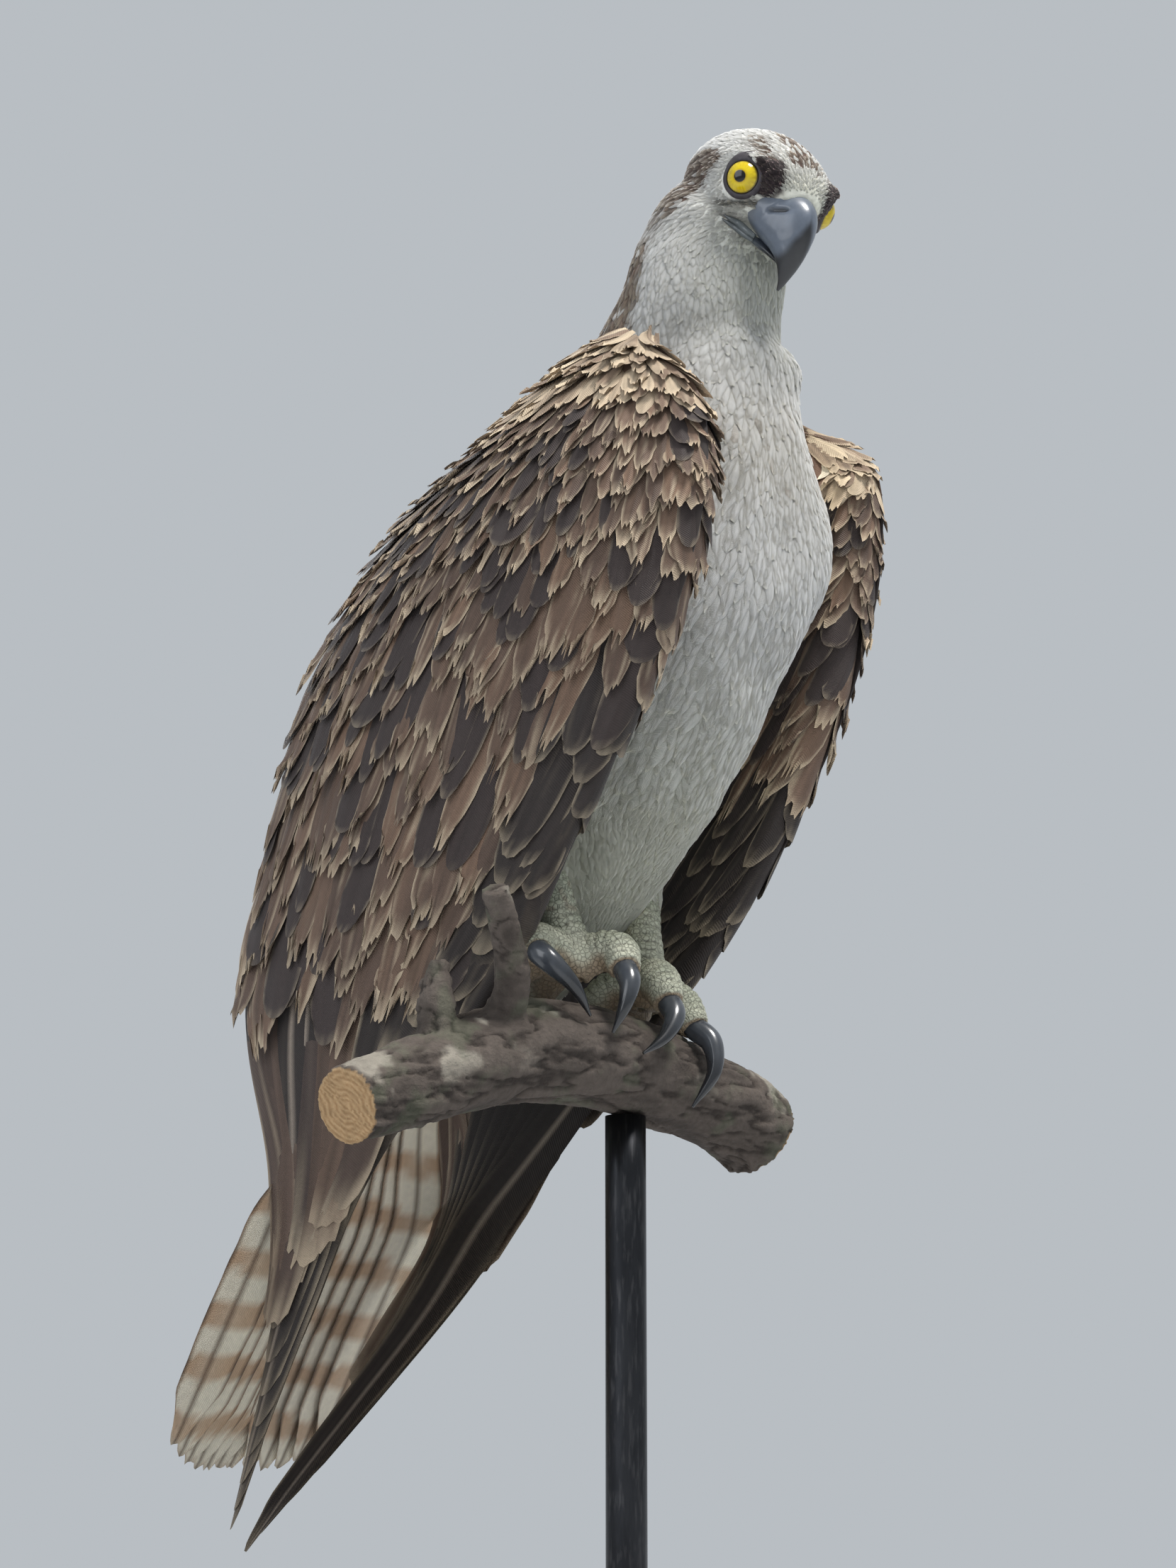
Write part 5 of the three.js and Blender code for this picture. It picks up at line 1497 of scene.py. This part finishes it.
def make_perch():
    """The branch, its knob and cut twig melted together, then roughened: long plates of bark as
    noise stretched along the branch, cracks where it crosses nought, and fine grain."""
    line = [perch_place(*place) for place in BRANCH_LINE]
    branch = tube(line, BRANCH_RADII, (0, 0, 1)).closed(90, 64, -1.0)
    knob = [perch_place(-84, 12), perch_place(-88, -8), perch_place(-86, -22)], [9, 7.5, 4]
    twig = [perch_place(-60, 2), (-66, -16, 0), (-84, -22, 26)], [8.5, 6.4, 5.6]
    stubs = [tube(*stub, (0, 1, 0)).closed(30, 30, -0.6) for stub in (knob, twig)]
    points, quads = melt("perch_form", [branch, *stubs], voxel=1.05, smooth=4)
    normals = point_normals(points, quads)
    way = unit(np.array(line[-1]) - np.array(line[0]))
    run, across = points @ way, points - (points @ way)[:, None] * way
    stretched = across + (run * 0.28)[:, None] * way
    plates = rough(stretched, 7.0, 3, 4)
    crack = np.exp(-(plates / 0.10) ** 2)
    coarse = rough(points, 26, 9, 3)
    height = 1.0 * coarse + 1.5 * plates - 1.1 * crack + 0.3 * rough(points, 2.6, 5, 2)
    left_end, right_end = np.array(line[0]), np.array(line[-1])
    first = unit(np.array(line[1]) - left_end)
    last = unit(right_end - np.array(line[-2]))
    at_left = ease(-((points - left_end) @ first), -1.6, -0.9) * (normals @ first < -0.6)
    at_right = ease(((points - right_end) @ last), -1.6, -0.9) * (normals @ last > 0.6)
    cut = np.clip(at_left + at_right, 0, 1)
    height = height * (1 - cut) * np.where(points[:, 2] > -1.5, 0.35, 0.9)
    points = points + normals * height[:, None]
    grey, dark, pale = rgb(92, 84, 78), rgb(38, 33, 31), rgb(158, 152, 140)
    tint = mix(grey, dark, np.clip(0.75 * crack + 0.55 * ease(-plates, 0.0, 0.6), 0, 1)[:, None])
    # pale patches of noise, kept off the branch's underside
    pale_upper_patches = ease(rough(points, 15, 21, 4), 0.16, 0.42) * ease(normals[:, 2], -0.5, 0.4)
    tint = mix(tint, pale, (0.75 * pale_upper_patches)[:, None])
    tint = mix(tint, rgb(96, 104, 84), (0.3 * ease(rough(points, 9, 31, 3), 0.1, 0.5))[:, None])
    end = np.where((at_left > 0)[:, None], points - left_end, points - right_end)
    radius = (np.linalg.norm(end - (end @ first)[:, None] * first, axis=1)
              + 0.5 * noise(points, 4, 1))
    wood = mix(rgb(176, 148, 112), rgb(140, 110, 78), (0.5 + 0.5 * np.sin(radius * 3.6))[:, None])
    tint = mix(tint, wood, cut[:, None])
    spin = np.arctan2(points[:, 1] + 10, points[:, 2] + 22)
    unwrap = np.stack([0.02 + 0.96 * (run + 140) / 240, 0.5 + spin / (2 * np.pi) * 0.96], -1)
    piece("branch", points, quads, bark, ("perch",), tint=tint, vane=points, unwrap=unwrap)


def turned(name, profile, place, material, slot, replaced, sides=160):
    """A round turned piece: a profile of radius and height spun about an upright line."""
    profile = np.array(profile, float)
    angle = around(sides)
    rings = np.stack([profile[:, :1] * np.cos(angle), profile[:, :1] * np.sin(angle),
                      np.broadcast_to(profile[:, 1:], (len(profile), sides))], -1) + np.array(place)
    points, tris = closed_tube(rings)
    piece(name, points, tris, material, (replaced,), vane=points,
          tint=np.ones((len(points), 3)))


bark = tinted_material("bark", 0.92, 330, 1.0, 0.0016, specular=0.2, mottled=0.8)
make_perch()

stand_wood = noise_material("dark_turned_wood",
                            (rgb(66, 44, 30), rgb(44, 28, 20), rgb(84, 58, 38)), 22, 0.42, 0.25,
                            0.0003, stretch=(1, 9, 9))
stand_metal = noise_material("blackened_steel",
                             (rgb(52, 53, 56), rgb(42, 43, 46), rgb(66, 66, 68)), 160, 0.36, 0.1,
                             0.0001, stretch=(1, 1, 0.15), metal=0.9)
arc = np.linspace(0, np.pi / 2, 10)
base_profile = [(0.05, 0), (109.5, 0), (111.4, 0.8), (112, 2), (112, 7.2), (111.2, 8.2),
                (110.2, 8.8), (110.2, 9.6),
                *zip(106.5 + 4.5 * np.cos(arc), 11.5 + 4.5 * np.sin(arc)), (60, 16), (0.05, 16)]
turned("base", base_profile, (0, 12, -228), stand_wood, "stand_wood", "stand_base")
rod_profile = [(0.05, -211.7), (7.0, -211.7), (7.0, -211), (7.0, -60), (7.0, -37), (0.05, -37)]
turned("rod", rod_profile, (8, -10, 0), stand_metal, "stand_metal", "stand_rod", 64)


# Camera, light and floor

CAMERA_AT = Vector((-0.9310, -0.6638, 0.0355))
CAMERA_WAY = Vector((0.7969, 0.5580, 0.2334))
camera_data = bpy.data.cameras.new("camera")
camera_data.lens = 76.39
camera_data.clip_start = 0.05
camera = bpy.data.objects.new("camera", camera_data)
camera.location = CAMERA_AT
camera.rotation_euler = CAMERA_WAY.to_track_quat("-Z", "Y").to_euler()
bpy.context.scene.collection.objects.link(camera)
bpy.context.scene.camera = camera


def lamp(name, place, aim, size, power, colour=(1, 1, 1)):
    """A square soft light that looks at a point."""
    data = bpy.data.lights.new(name, "AREA")
    data.size, data.energy, data.color = size, power, colour
    body = bpy.data.objects.new(name, data)
    body.location = place
    body.rotation_euler = (Vector(aim) - Vector(place)).to_track_quat("-Z", "Y").to_euler()
    bpy.context.scene.collection.objects.link(body)


lamp("key", (-0.1, -0.85, 1.95), (0, 0, 0.35), 0.5, 42, (1.0, 0.975, 0.94))
lamp("side", (-1.7, 0.3, 1.0), (0, 0, 0.3), 1.2, 12, (0.93, 0.96, 1.0))
lamp("back", (1.2, 1.2, 1.3), (0, 0, 0.35), 1.0, 14, (1.0, 0.98, 0.96))

world = bpy.data.worlds.new("studio")
world.use_nodes = True
world.node_tree.nodes["Background"].inputs[0].default_value = (0.78, 0.83, 0.88, 1)
world.node_tree.nodes["Background"].inputs[1].default_value = 0.62
bpy.context.scene.world = world
bpy.context.scene.view_settings.view_transform = "Standard"

angle = around(96)
radii = np.array([0.02, 200, 600, 1400, 2600])[:, None]
disc = (np.stack([radii * np.cos(angle), radii * np.sin(angle), -0.05 + 0 * radii * angle], -1)
        - GRIP)
disc_points, disc_faces = disc.reshape(-1, 3), grid_faces(numbered(5, 96), ring=True)
floor_mesh = make_mesh("floor", disc_points, disc_faces)
floor_material, _, floor_shader = new_material("pale_floor")
finish_with(floor_shader, {"Base Color": (0.66, 0.68, 0.70, 1), "Roughness": 0.85})
floor_mesh.materials.append(floor_material)
floor = bpy.data.objects.new("floor", floor_mesh)
bpy.context.scene.collection.objects.link(floor)
